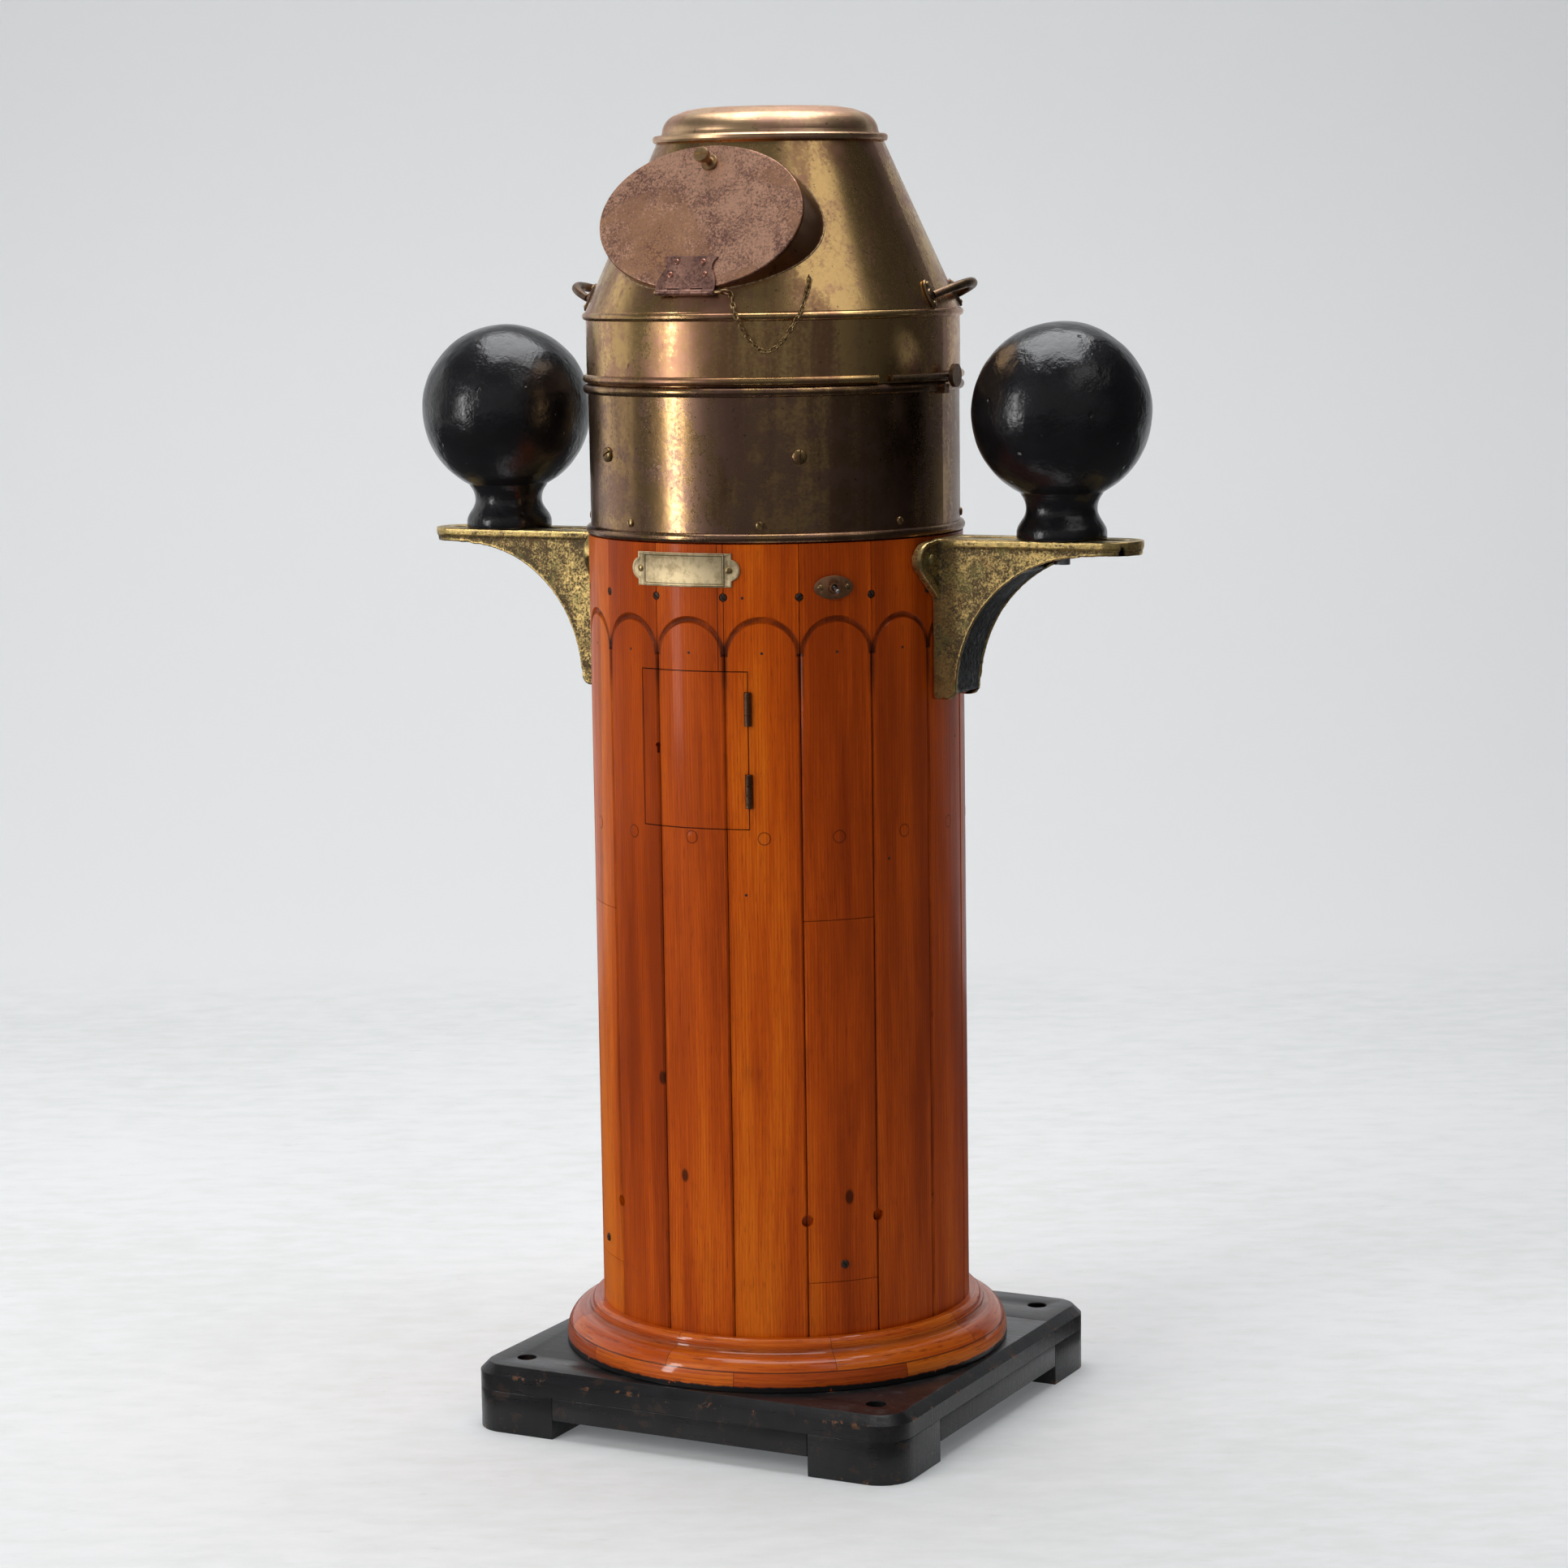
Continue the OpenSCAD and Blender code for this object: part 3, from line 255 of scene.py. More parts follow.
@finish_of("stave_teak")
def stave_teak(f):
    angle, radius = f.round_the_axis()
    number = (angle / STAVE_STEP + 0.5).floor()
    seed = f.chance(number + 31.0)
    u = (angle - number * STAVE_STEP) * COLUMN_R
    # tone differs at random from stave to stave; painted light and shade make the left side lighter
    # and the right side darker, and the colour is made lighter towards the foot
    tone_and_side_light = (f.chance(number + 5.0) - 0.5) * 0.16 - f.fade(angle, -0.1, 1.2) * 0.04
    tone_and_side_light = tone_and_side_light + f.fade(angle, -0.10, -0.60) * 0.085
    tone_and_side_light = tone_and_side_light + f.fade(f.z, 0.45, 0.12) * 0.06
    colour, height = teak(f, u, radius, f.z, seed, tone_and_side_light)
    # joints between staves, open below the arches and nearly shut above them, with painted shade in
    # the grooves
    edge = abs(u)
    half = STAVE_STEP * COLUMN_R / 2
    below = f.z.under(SPRING_Z)
    broken = f.fade(f.noise(30.0, 4.0, 0.7), 0.30, 0.62)
    groove = f.fade(edge, half - 0.0046, half - 0.0010) * below * (0.25 + broken * 0.75)
    hairline = f.fade(edge, half - 0.0007, half - 0.0003) * (0.12 + below * 0.45)
    rise = f.z - ARCH_Z
    ring = abs((u * u + rise * rise).root() - ARCH_R)
    arch = f.fade(ring, 0.0040, 0.0012) * f.z.over(ARCH_Z) * (0.45 + broken * 0.55)
    spandrel = f.fade(edge, half - 0.006, half) * f.fade(abs(f.z - ARCH_Z + 0.012), 0.040, 0.0)
    # painted shade: darker in the joints' grooves below the arches, along the arch grooves under
    # the band, and by the stave edges where the arches spring
    groove_shade = (groove * 0.25 + arch * 0.80 + spandrel * 0.6).least(1.0)
    colour = f.mix(groove_shade, colour, (0.050, 0.007, 0.001))
    colour = f.mix(hairline, colour, (0.012, 0.003, 0.001))
    crack = f.fade(abs(angle - CRACK_AT), 0.0036, 0.0014) * f.z.over(CRACK_Z)
    colour = f.mix(crack * 0.9, colour, (0.010, 0.003, 0.001))
    inside = f.fade(abs(angle - DOOR_MID), DOOR_HALF + 0.0050, DOOR_HALF - 0.0050)
    tall = f.fade(abs(f.z - DOOR_Z), DOOR_RISE + 0.0009, DOOR_RISE - 0.0009)
    shut = inside * tall
    outline = shut * (1.0 - shut) * 4.0
    colour = f.mix(outline * 0.92, colour, (0.008, 0.002, 0.001))
    ring = (u * u + (f.z - PLUG_Z) * (f.z - PLUG_Z)).root()
    plug = f.fade(abs(ring - PLUG_R), 0.0009, 0.0003)
    colour = f.mix(plug * 0.65, colour, (0.05, 0.008, 0.001))
    # knocks filled with varnish, stains and pale scratches
    knock = f.fade(f.cells(9.0, f.point(u + number, radius, f.z * 0.6)), 0.050, 0.030)
    colour = f.mix(knock * 0.80, colour, (0.020, 0.005, 0.001))
    stain = f.fade(f.noise(7.0, 4.0, 0.6, f.point(u * 2.0 + number, radius, f.z * 0.6)), 0.60, 0.80)
    colour = f.mix(stain * 0.35, colour, (0.16, 0.018, 0.001))
    scratch = f.fade(f.noise(210.0, 2.0, 0.5, f.point(u * 1.6, radius, f.z * 0.05)), 0.765, 0.785)
    scratch = scratch * f.fade(f.noise(40.0, 2.0, 0.5), 0.55, 0.62)
    colour = f.mix(scratch * 0.5, colour, (0.70, 0.42, 0.24))
    rub = f.noise(38.0, 4.0, 0.6)
    f.set(Base_Color=colour, Roughness=0.30 + rub * 0.14 + groove_shade * 0.20,
          Coat_Weight=0.12, Coat_Roughness=0.10, Coat_IOR=1.4, Specular_IOR_Level=0.08)
    f.set(Normal=f.relief(height + rub * 0.8, 0.00014, 0.55))


@finish_of("moulding_teak")
def moulding_teak(f):
    angle, radius = f.round_the_axis()
    along = angle * 0.21
    layer = f.z.over(88 * MM)
    part = ((angle + layer * 0.33) / (math.pi / 4) + 0.7).floor()
    seed = f.chance(part + layer * 13.0)
    colour, height = teak(f, f.z * 0.9 + radius * 0.8, radius * 0.3, along, seed,
                          (seed - 0.5) * 0.16 + 0.10)
    # joints of the ring's segments, the glue line, and paint along the bottom edge
    turn = (angle + layer * 0.33) / (math.pi / 4) + 0.7
    joint = f.fade(abs(turn - (turn + 0.5).floor()), 0.0035, 0.0012)
    glue = f.fade(abs(f.z - 88 * MM), 0.0011, 0.0004)
    colour = f.mix((joint + glue).least(1.0) * 0.75, colour, (0.05, 0.010, 0.003))
    # painted shade: a darker band round the hollow of the moulding at 104 mm
    quirk_shade = f.fade(abs(f.z - 104 * MM), 0.0045, 0.0010)
    colour = f.mix(quirk_shade * 0.45, colour, (0.09, 0.016, 0.003))
    ragged = f.noise(90.0, 3.0, 0.6)
    painted = f.fade(f.z + ragged * 0.004, 77.5 * MM, 75.2 * MM)
    chips = f.fade(f.noise(60.0, 4.0, 0.6), 0.66, 0.70)
    painted = painted * (1.0 - chips * 0.9)
    colour = f.mix(painted, colour, (0.012, 0.011, 0.011))
    f.set(Base_Color=colour, Roughness=0.32 + ragged * 0.12 + painted * 0.1,
          Coat_Weight=0.60 - painted * 0.3, Coat_Roughness=0.07, Specular_IOR_Level=0.15)
    f.set(Normal=f.relief(height + ragged * 0.8, 0.00012, 0.5))


@finish_of("base_paint")
def base_paint(f):
    grain = f.noise(260.0, 4.0, 0.6, f.stretched(0.05, 1.0, 1.0))
    brush = f.noise(140.0, 4.0, 0.6, f.stretched(0.12, 1.0, 1.0))
    blotch = f.noise(9.0, 4.0, 0.6)
    colour = f.mix(f.fade(blotch, 0.35, 0.75), (0.0075, 0.0075, 0.0085), (0.021, 0.0205, 0.022))
    # dust that gathers on the upward face, and a brown stain near the moulding
    _, radius = f.round_the_axis()
    top = f.z.over(67.5 * MM)
    dust = f.fade(f.noise(30.0, 6.0, 0.65), 0.50, 0.78) * top
    colour = f.mix(dust * 0.50, colour, (0.16, 0.15, 0.145))
    stain = f.fade(f.noise(13.0, 4.0, 0.6), 0.52, 0.70) * f.fade(radius, 0.285, 0.225) * top
    colour = f.mix(stain * 0.55, colour, (0.065, 0.030, 0.014))
    # paint rubbed through to the wood on corners, along edges and low down
    corner = f.fade(abs(f.x).most(abs(f.y)), 0.2395, 0.2425)
    rim = f.fade(abs(f.z - 61 * MM), 0.008, 0.001) * corner
    foot = f.fade(f.z, 0.006, 0.0)
    seam = f.fade(abs(f.z - 43 * MM), 0.0018, 0.0006) * corner
    worn = f.fade(f.noise(60.0, 5.0, 0.75), 0.57, 0.61)
    worn = worn * (rim * 0.9 + foot + 0.10).least(1.0)
    colour = f.mix(worn, colour, (0.19, 0.075, 0.025))
    colour = f.mix(seam * f.fade(brush, 0.45, 0.60) * 0.5, colour, (0.003, 0.003, 0.003))
    f.set(Base_Color=colour, Roughness=0.20 + grain * 0.20 + dust * 0.22,
          Coat_Weight=0.0, Specular_IOR_Level=0.35)
    saw = f.noise(420.0, 3.0, 0.6, f.stretched(1.0, 1.0, 0.04)) * (1.0 - top)
    height = grain * 0.5 + brush * 0.7 + saw * 0.8 + worn * -1.6 + blotch * 1.8
    f.set(Normal=f.relief(height, 0.00035, 0.6))


def patina(f, gold, brown, rose, rough, seed=0.0, streak=0.25, age=0.0, side=0.0):
    """Old brass: a warm metal under brown and rosy stains that run downwards."""
    angle, _ = f.round_the_axis()
    # painted shade: side makes the metal darker and rosier from 43° round towards +X, fully past
    # 77°
    if side:
        age = age + f.fade(angle, 0.75, 1.35) * side
    drift = f.noise(9.0 + seed, 3.0, 0.6, at=f.stretched(1.0, 1.0, streak), distortion=1.2)
    runs = f.noise(34.0, 5.0, 0.65, f.stretched(1.0, 1.0, streak * 0.6))
    clouds = f.noise(6.0 + seed, 5.0, 0.62, distortion=0.8)
    blotch = f.noise(46.0, 5.0, 0.68)
    fine = f.noise(260.0, 4.0, 0.65)
    dark = f.fade(drift * 0.50 + runs * 0.34 + fine * 0.17 + age, 0.445, 0.580)
    colour = f.mix(dark * 0.85, gold, brown)
    pink = f.fade(clouds * 0.55 + blotch * 0.35 + fine * 0.12 + age * 0.5, 0.475, 0.575)
    colour = f.mix(pink * 0.75, colour, rose)
    spots = f.fade(f.noise(150.0, 3.0, 0.6), 0.66, 0.72)
    colour = f.mix(spots * 0.6, colour, tuple(c * 0.35 for c in brown))
    f.set(Base_Color=colour, Metallic=1.0)
    f.set(Roughness=rough + dark * 0.10 + pink * 0.05 + (fine - 0.5) * 0.14 + blotch * 0.06)
    f.set(Normal=f.relief(blotch * 0.7 + clouds * 2.2 + fine * 0.10, 0.0005, 0.32))
    return colour, dark


# gold, brown, rose, roughness, seed, how far stains run down, age in front, and painted shade that
# darkens the right side
PATINAS = {
    "old_brass": ((0.67, 0.43, 0.175), (0.30, 0.150, 0.085), (0.45, 0.225, 0.155), 0.20, 0.0,
                  0.16, -0.012, 0.03),
    "cap_brass": ((0.72, 0.48, 0.27), (0.50, 0.28, 0.18), (0.62, 0.35, 0.25), 0.30, 3.0, 0.8),
    "knob_brass": ((0.62, 0.42, 0.20), (0.28, 0.16, 0.08), (0.42, 0.24, 0.14), 0.28, 7.0, 1.0),
    "spout_brass": ((0.36, 0.19, 0.10), (0.13, 0.06, 0.04), (0.34, 0.16, 0.11), 0.30, 5.0, 0.8),
    "handle_brass": ((0.30, 0.20, 0.11), (0.10, 0.065, 0.045), (0.22, 0.13, 0.09), 0.30, 6.0,
                     1.0),
    "drum_brass": ((0.44, 0.27, 0.12), (0.150, 0.080, 0.050), (0.25, 0.14, 0.105), 0.18, 2.0,
                   0.09, -0.01, 0.05),
    "plate_brass": ((0.74, 0.57, 0.27), (0.40, 0.27, 0.12), (0.60, 0.42, 0.22), 0.26, 3.0, 1.0,
                    -0.03),
    "dark_brass": ((0.30, 0.17, 0.07), (0.08, 0.045, 0.025), (0.20, 0.10, 0.06), 0.34, 4.0, 1.0,
                   0.04),
    "red_brass": ((0.62, 0.31, 0.15), (0.22, 0.09, 0.05), (0.50, 0.24, 0.15), 0.34, 4.0, 1.0,
                  -0.03),
    "screw_brass": ((0.62, 0.44, 0.20), (0.20, 0.11, 0.05), (0.40, 0.22, 0.12), 0.30, 9.0, 1.0),
}
for name, looks in PATINAS.items():
    finish_of(name)(lambda f: patina(f, *looks))


def flecked(f, scale, detail, low, high, light, dark, metallic, rough, spread, depth=0.0):
    """Small metal trim, flecked by one noise."""
    grit = f.noise(scale, detail, 0.6)
    f.set(Base_Color=f.mix(f.fade(grit, low, high), light, dark), Metallic=metallic,
          Roughness=rough + grit * spread)
    if depth:
        f.set(Normal=f.relief(grit, depth, 0.5))


# noise scale and detail, its range, light and dark, metallic, roughness, its spread, relief
FLECKED = {
    "copper_screw": (500.0, 4.0, 0.40, 0.65, (0.58, 0.27, 0.19), (0.20, 0.09, 0.06), 0.95, 0.30,
                     0.15),
    "screw_dark": (700.0, 4.0, 0.40, 0.65, (0.030, 0.020, 0.016), (0.13, 0.075, 0.05), 0.70,
                   0.42, 0.20, 0.0002),
    "chain_brass": (500.0, 3.0, 0.40, 0.65, (0.56, 0.38, 0.17), (0.16, 0.095, 0.05), 0.90, 0.34,
                    0.20),
    "solder": (260.0, 4.0, 0.42, 0.62, (0.72, 0.54, 0.32), (0.34, 0.21, 0.11), 0.90, 0.32, 0.20,
               0.0003),
}
for name, looks in FLECKED.items():
    finish_of(name)(lambda f: flecked(f, *looks))


@finish_of("lid_brass")
def lid_brass(f):
    broad = f.noise(13.0, 5.0, 0.65, distortion=0.7)
    speckle = f.noise(420.0, 3.0, 0.75)
    clouds = f.noise(34.0, 6.0, 0.72)
    patches = f.fade(broad * 0.38 + clouds * 0.30 + speckle * 0.46, 0.50, 0.64)
    colour = f.mix(patches, (0.70, 0.395, 0.265), (0.17, 0.080, 0.060))
    warm = f.fade(broad, 0.52, 0.62) * f.fade(speckle, 0.40, 0.55)
    colour = f.mix(warm * 0.5, colour, (0.70, 0.37, 0.18))
    pits = f.fade(f.noise(520.0, 2.0, 0.5), 0.62, 0.72)
    colour = f.mix(pits * 0.7, colour, (0.06, 0.035, 0.03))
    f.set(Base_Color=colour, Metallic=0.80, Roughness=0.38 + patches * 0.20)
    f.set(Normal=f.relief(speckle * 0.4 + clouds * 1.4 - pits * 0.4, 0.0003, 0.4))


@finish_of("leaf_brass")
def leaf_brass(f):
    clouds = f.noise(60.0, 5.0, 0.7)
    speckle = f.noise(420.0, 4.0, 0.7)
    colour = f.mix(f.fade(clouds * 0.5 + speckle * 0.5, 0.42, 0.60), (0.36, 0.19, 0.14),
                   (0.13, 0.065, 0.055))
    f.set(Base_Color=colour, Metallic=0.85, Roughness=0.36 + clouds * 0.2)
    f.set(Normal=f.relief(clouds + speckle * 0.3, 0.0003, 0.4))


@finish_of("name_brass")
def name_brass(f):
    clouds = f.noise(70.0, 5.0, 0.7)
    fine = f.noise(600.0, 3.0, 0.6, f.stretched(1.0, 1.0, 8.0))
    angle, radius = f.round_the_axis()
    low = f.fade(radius, COLUMN_R + 1.45 * MM, COLUMN_R + 1.15 * MM)
    colour = f.mix(f.fade(clouds, 0.42, 0.60), (0.88, 0.71, 0.43), (0.60, 0.45, 0.25))
    colour = f.mix(low * 0.30, colour, (0.30, 0.23, 0.13))
    # painted shade: dark lines 1 mm either side of the raised frame
    across = abs(angle - math.radians(PLATE_AT[0])) * COLUMN_R
    past_side = across - math.radians(FRAME_HALF[0]) * COLUMN_R
    past = past_side.most(abs(f.z - PLATE_AT[1]) - FRAME_HALF[1] * MM)
    frame_shade = f.fade(abs(abs(past) - 1.0 * MM), 0.7 * MM, 0.2 * MM)
    colour = f.mix(frame_shade * 0.75, colour, (0.11, 0.075, 0.035))
    f.set(Base_Color=colour, Metallic=0.95, Roughness=0.40 + fine * 0.12 + clouds * 0.08)
    f.set(Normal=f.relief(fine * 0.6 + clouds, 0.0002, 0.4))


BRACKET_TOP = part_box("bracket_right")[1].z
BRACKET_CHEEK = 25.5 * MM


@finish_of("cast_brass")
def cast_brass(f):
    """Sand-cast cheeks under dark dirt, with rubbed edges, and black paint inside."""
    worn = f.kept("worn")
    grain = f.noise(430.0, 4.0, 0.75)
    coarse = f.noise(150.0, 5.0, 0.70)
    clouds = f.noise(24.0, 4.0, 0.6)
    dirt = f.fade(grain * 0.50 + coarse * 0.26 + clouds * 0.34 - worn * 0.30, 0.44, 0.58)
    colour = f.mix(dirt, (0.76, 0.54, 0.20), (0.100, 0.068, 0.032))
    rust = f.fade(f.noise(60.0, 4.0, 0.6), 0.54, 0.66)
    colour = f.mix(rust * 0.40, colour, (0.20, 0.095, 0.040))
    green = f.fade(f.noise(34.0, 3.0, 0.6), 0.53, 0.66)
    colour = f.mix(green * 0.45, colour, (0.24, 0.22, 0.075))
    rubbed = f.fade(worn, 0.30, 0.75)
    colour = f.mix(rubbed * 0.75, colour, (0.74, 0.54, 0.25))
    pits = f.fade(f.noise(620.0, 2.0, 0.5), 0.60, 0.68) * (1.0 - rubbed)
    colour = f.mix(pits * 0.8, colour, (0.035, 0.025, 0.014))
    # black inside the cheeks and under the top plate
    _, radius = f.round_the_axis()
    inside = f.fade(abs(f.y), BRACKET_CHEEK, BRACKET_CHEEK - 0.001)
    hidden = inside * f.fade(f.z, BRACKET_TOP - 0.0035, BRACKET_TOP - 0.006) * radius.over(0.2005)
    tip = f.fade((abs(f.x) - 0.367).most(0.0), 0.021, 0.024)
    hidden = hidden * (1.0 - tip)
    colour = f.mix(hidden, colour, (0.012, 0.012, 0.013))
    bare = 1.0 - hidden
    f.set(Base_Color=colour, Metallic=bare * (1.0 - dirt * 0.35) + hidden,
          Roughness=0.32 + dirt * 0.22 - rubbed * 0.10 - hidden * 0.04)
    f.set(Normal=f.relief(grain * 0.7 + coarse * 0.6 + clouds, 0.0009, 0.6))


@finish_of("sphere_paint")
def sphere_paint(f):
    lumpy = f.noise(30.0, 3.0, 0.5)
    peel = f.noise(210.0, 3.0, 0.55, distortion=0.6)
    brush = f.noise(95.0, 4.0, 0.6)
    pits = f.fade(f.cells(34.0), 0.12, 0.02)
    chips = f.fade(f.noise(64.0, 3.0, 0.5), 0.745, 0.765)
    colour = f.mix(f.fade(lumpy, 0.4, 0.7), (0.0050, 0.0048, 0.0058), (0.0085, 0.0082, 0.0095))
    colour = f.mix(chips * 0.8, colour, (0.16, 0.15, 0.15))
    f.set(Base_Color=colour, Roughness=0.17 + brush * 0.12 + chips * 0.3,
          Coat_Weight=0.15, Coat_Roughness=0.12, Specular_IOR_Level=0.5)
    f.set(Normal=f.relief(lumpy * 2.0 + brush * 0.9 + peel * 0.55 - pits * 2.0, 0.0013, 0.6))


@finish_of("bright_steel")
def bright_steel(f):
    fine = f.noise(300.0, 4.0, 0.6)
    rust = f.fade(f.noise(60.0, 4.0, 0.6), 0.60, 0.74)
    colour = f.mix(rust * 0.6, (0.46, 0.46, 0.47), (0.16, 0.09, 0.05))
    f.set(Base_Color=colour, Metallic=0.95, Roughness=0.28 + fine * 0.12 + rust * 0.25)
    f.set(Normal=f.relief(fine, 0.0001, 0.3))


@finish_of("inner_wood")
def inner_wood(f):
    grain = f.noise(300.0, 5.0, 0.6, f.stretched(1.0, 0.06, 1.0))
    broad = f.noise(20.0, 3.0, 0.6, f.stretched(1.0, 0.2, 1.0))
    colour = f.mix(f.fade(grain * 0.6 + broad * 0.5, 0.35, 0.72), (0.20, 0.10, 0.045),
                   (0.42, 0.25, 0.12))
    f.set(Base_Color=colour, Roughness=0.55 + grain * 0.15)
    f.set(Normal=f.relief(grain, 0.0002, 0.5))


@finish_of("clear_glass")
def clear_glass(f):
    smear = f.noise(25.0, 4.0, 0.6)
    f.set(Base_Color=(0.92, 0.96, 0.95), Roughness=0.03 + f.fade(smear, 0.5, 0.8) * 0.05,
          Transmission_Weight=0.92, IOR=1.45)


@finish_of("lamp_glass")
def lamp_glass(f):
    smear = f.noise(60.0, 4.0, 0.6)
    f.set(Base_Color=(0.97, 0.93, 0.84), Roughness=0.12 + smear * 0.12,
          Transmission_Weight=0.6, IOR=1.45)


# painted shade: a dark disc stands for the shadow inside each nail hole
@finish_of("hole_shade")
def hole_shade(f):
    grit = f.noise(900.0, 2.0, 0.5)
    f.set(Base_Color=f.mix(grit, (0.010, 0.004, 0.002), (0.05, 0.015, 0.005)),
          Roughness=0.7 + grit * 0.1)


@finish_of("card_paper")
def card_paper(f):
    age = f.noise(30.0, 4.0, 0.6)
    fleck = f.noise(500.0, 3.0, 0.6)
    colour = f.mix(f.fade(age, 0.4, 0.75), (0.80, 0.77, 0.66), (0.62, 0.55, 0.40))
    f.set(Base_Color=colour, Roughness=0.55 + fleck * 0.15)
    f.set(Normal=f.relief(fleck, 0.00005, 0.4))


@finish_of("card_ink")
def card_ink(f):
    fade = f.noise(90.0, 4.0, 0.6)
    f.set(Base_Color=f.mix(fade, (0.012, 0.012, 0.014), (0.05, 0.045, 0.04)), Roughness=0.5)


@finish_of("magnet_paint")
def magnet_paint(f):
    north = f.fade(f.y, -0.002, 0.002)
    rub = f.noise(140.0, 4.0, 0.6)
    colour = f.mix(north, (0.30, 0.018, 0.012), (0.020, 0.045, 0.20))
    colour = f.mix(f.fade(rub, 0.62, 0.72), colour, (0.20, 0.19, 0.18))
    f.set(Base_Color=colour, Roughness=0.38 + rub * 0.2)


# ---------- which finish each part takes ----------

PART_FINISH = {
    "base_paint": ["base_board_front", "base_board_rear", "base_rails", "base_feet"],
    "moulding_teak": ["foot_ring_lower", "foot_ring_upper"],
    "stave_teak": ["column_staves", "magnet_door", "access_panel_left", "access_panel_right"],
    "screw_dark": ["column_screws"],
    "inner_wood": ["pedestal_floor", "pedestal_top_disc", "magnet_shelf", "magnet_rack_left",
                   "magnet_rack_right", "drum_seat_ring"],
    "magnet_paint": ["corrector_magnets"],
    "name_brass": ["nameplate"],
    "plate_brass": ["plate_screws", "heeling_tube", "heeling_bucket",
                    "door_lock_case", "lamp_holder", "bowl_bezel", "gimbal_ring", "lid_knob",
                    "gimbal_support_ring"],
    "red_brass": ["switch_plate", "switch_body", "compass_bowl"],
    "dark_brass": ["door_hinge_barrels", "frame_hinge_barrels"],
    "bright_steel": ["switch_toggle", "door_hinge_pins", "door_lock_bolt", "sphere_bolt_left",
                     "sphere_bolt_right", "card_pivot"],
    "cast_brass": ["bracket_left", "bracket_right", "bracket_rivets"],
    "sphere_paint": ["sphere_left", "sphere_right"],
    "drum_brass": ["compass_drum"],
    "screw_brass": ["drum_screws", "retaining_chain", "lid_hinge_pin"],
    "clear_glass": ["bowl_glass", "window_glass"],
    "lamp_glass": ["lamp_bulb"],
    "card_paper": ["compass_card"],
    "old_brass": ["helmet_shell"],
    "cap_brass": ["helmet_cap"],
    "spout_brass": ["window_spout"],
    "handle_brass": ["helmet_handles", "helmet_lock_bolt"],
    "lid_brass": ["window_lid"],
    "leaf_brass": ["lid_hinge_leaf", "spout_hinge_leaf"],
}
for name, parts in PART_FINISH.items():
    for part in parts:
        mesh = NODES[part].data
        mesh.materials.clear()
        mesh.materials.append(FINISHES[name])

# ---------- mesh making ----------


def mesh_of(name, verts, faces, edges=()):
    mesh = bpy.data.meshes.new(name)
    mesh.from_pydata([tuple(v) for v in verts], edges, faces)
    mesh.validate()
    return mesh


@contextmanager
def editing(mesh):
    """The mesh as a bmesh, written back afterwards."""
    work = bmesh.new()
    work.from_mesh(mesh)
    yield work
    work.to_mesh(mesh)
    work.free()


def piece(name, mesh, body, finish, replaced=(), crease=35.0):
    """Puts a finished mesh on its body, with its finish, and hides the CAD nodes it replaces."""
    made = bpy.data.objects.new(name, mesh)
    bpy.context.scene.collection.objects.link(made)
    mesh.materials.clear()
    mesh.materials.append(FINISHES[finish])
    mesh.shade_smooth()
    mesh.set_sharp_from_angle(angle=math.radians(crease))
    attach(made, body)
    if replaced:
        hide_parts(*replaced)
    return made


def settled(source, name):
    """A plain mesh from an object with live modifiers; the object itself is removed."""
    bpy.context.view_layer.update()
    graph = bpy.context.evaluated_depsgraph_get()
    mesh = bpy.data.meshes.new_from_object(source.evaluated_get(graph))
    mesh.name = name
    bpy.data.objects.remove(source)
    return mesh


def loose(name, mesh):
    """An object for modifiers to work on, on its way to becoming a piece."""
    made = bpy.data.objects.new(name, mesh)
    bpy.context.scene.collection.objects.link(made)
    return made


def merged_copy(node):
    """A copy of a CAD node's mesh, with the loose triangles joined up."""
    mesh = bpy.data.meshes.new(node)
    with editing(mesh) as work:
        work.from_mesh(NODES[node].data)
        bmesh.ops.remove_doubles(work, verts=work.verts, dist=1e-6)
        bmesh.ops.dissolve_limit(work, angle_limit=math.radians(0.5), verts=work.verts,
                                 edges=work.edges)
    return mesh


def bevelled(node, width, segments=2, angle=30.0, above=-1.0):
    """A merged copy of a CAD node with the sharp edges that lie above a height rounded."""
    mesh = merged_copy(node)
    with editing(mesh) as work:
        layer = work.edges.layers.float.new("bevel_weight_edge")
        for edge in work.edges:
            sharp = edge.calc_face_angle(0.0) > math.radians(angle)
            edge[layer] = float(sharp and min(v.co.z for v in edge.verts) > above)
    worked = loose("bevelling", mesh)
    bevel = worked.modifiers.new("edges", "BEVEL")
    bevel.width = width
    bevel.segments = segments
    bevel.limit_method = "WEIGHT"
    bevel.use_clamp_overlap = True
    bevel.miter_outer = "MITER_ARC"
    return settled(worked, node + "_mesh")


def turns(count):
    """Equal angles once round, in radians."""
    return [2 * math.pi * i / count for i in range(count)]


def bands(starts, count, closed=True):
    """Quads between neighbouring rings of count vertices, from each ring's first vertex."""
    return [[a + k, a + (k + 1) % count, b + (k + 1) % count, b + k]
            for a, b in zip(starts, starts[1:]) for k in range(count if closed else count - 1)]


def capped(starts, count):
    """Bands with a flat face on either end."""
    first, last = starts[0], starts[-1]
    ends = [list(range(first, first + count))[::-1], list(range(last, last + count))]
    return bands(starts, count) + ends


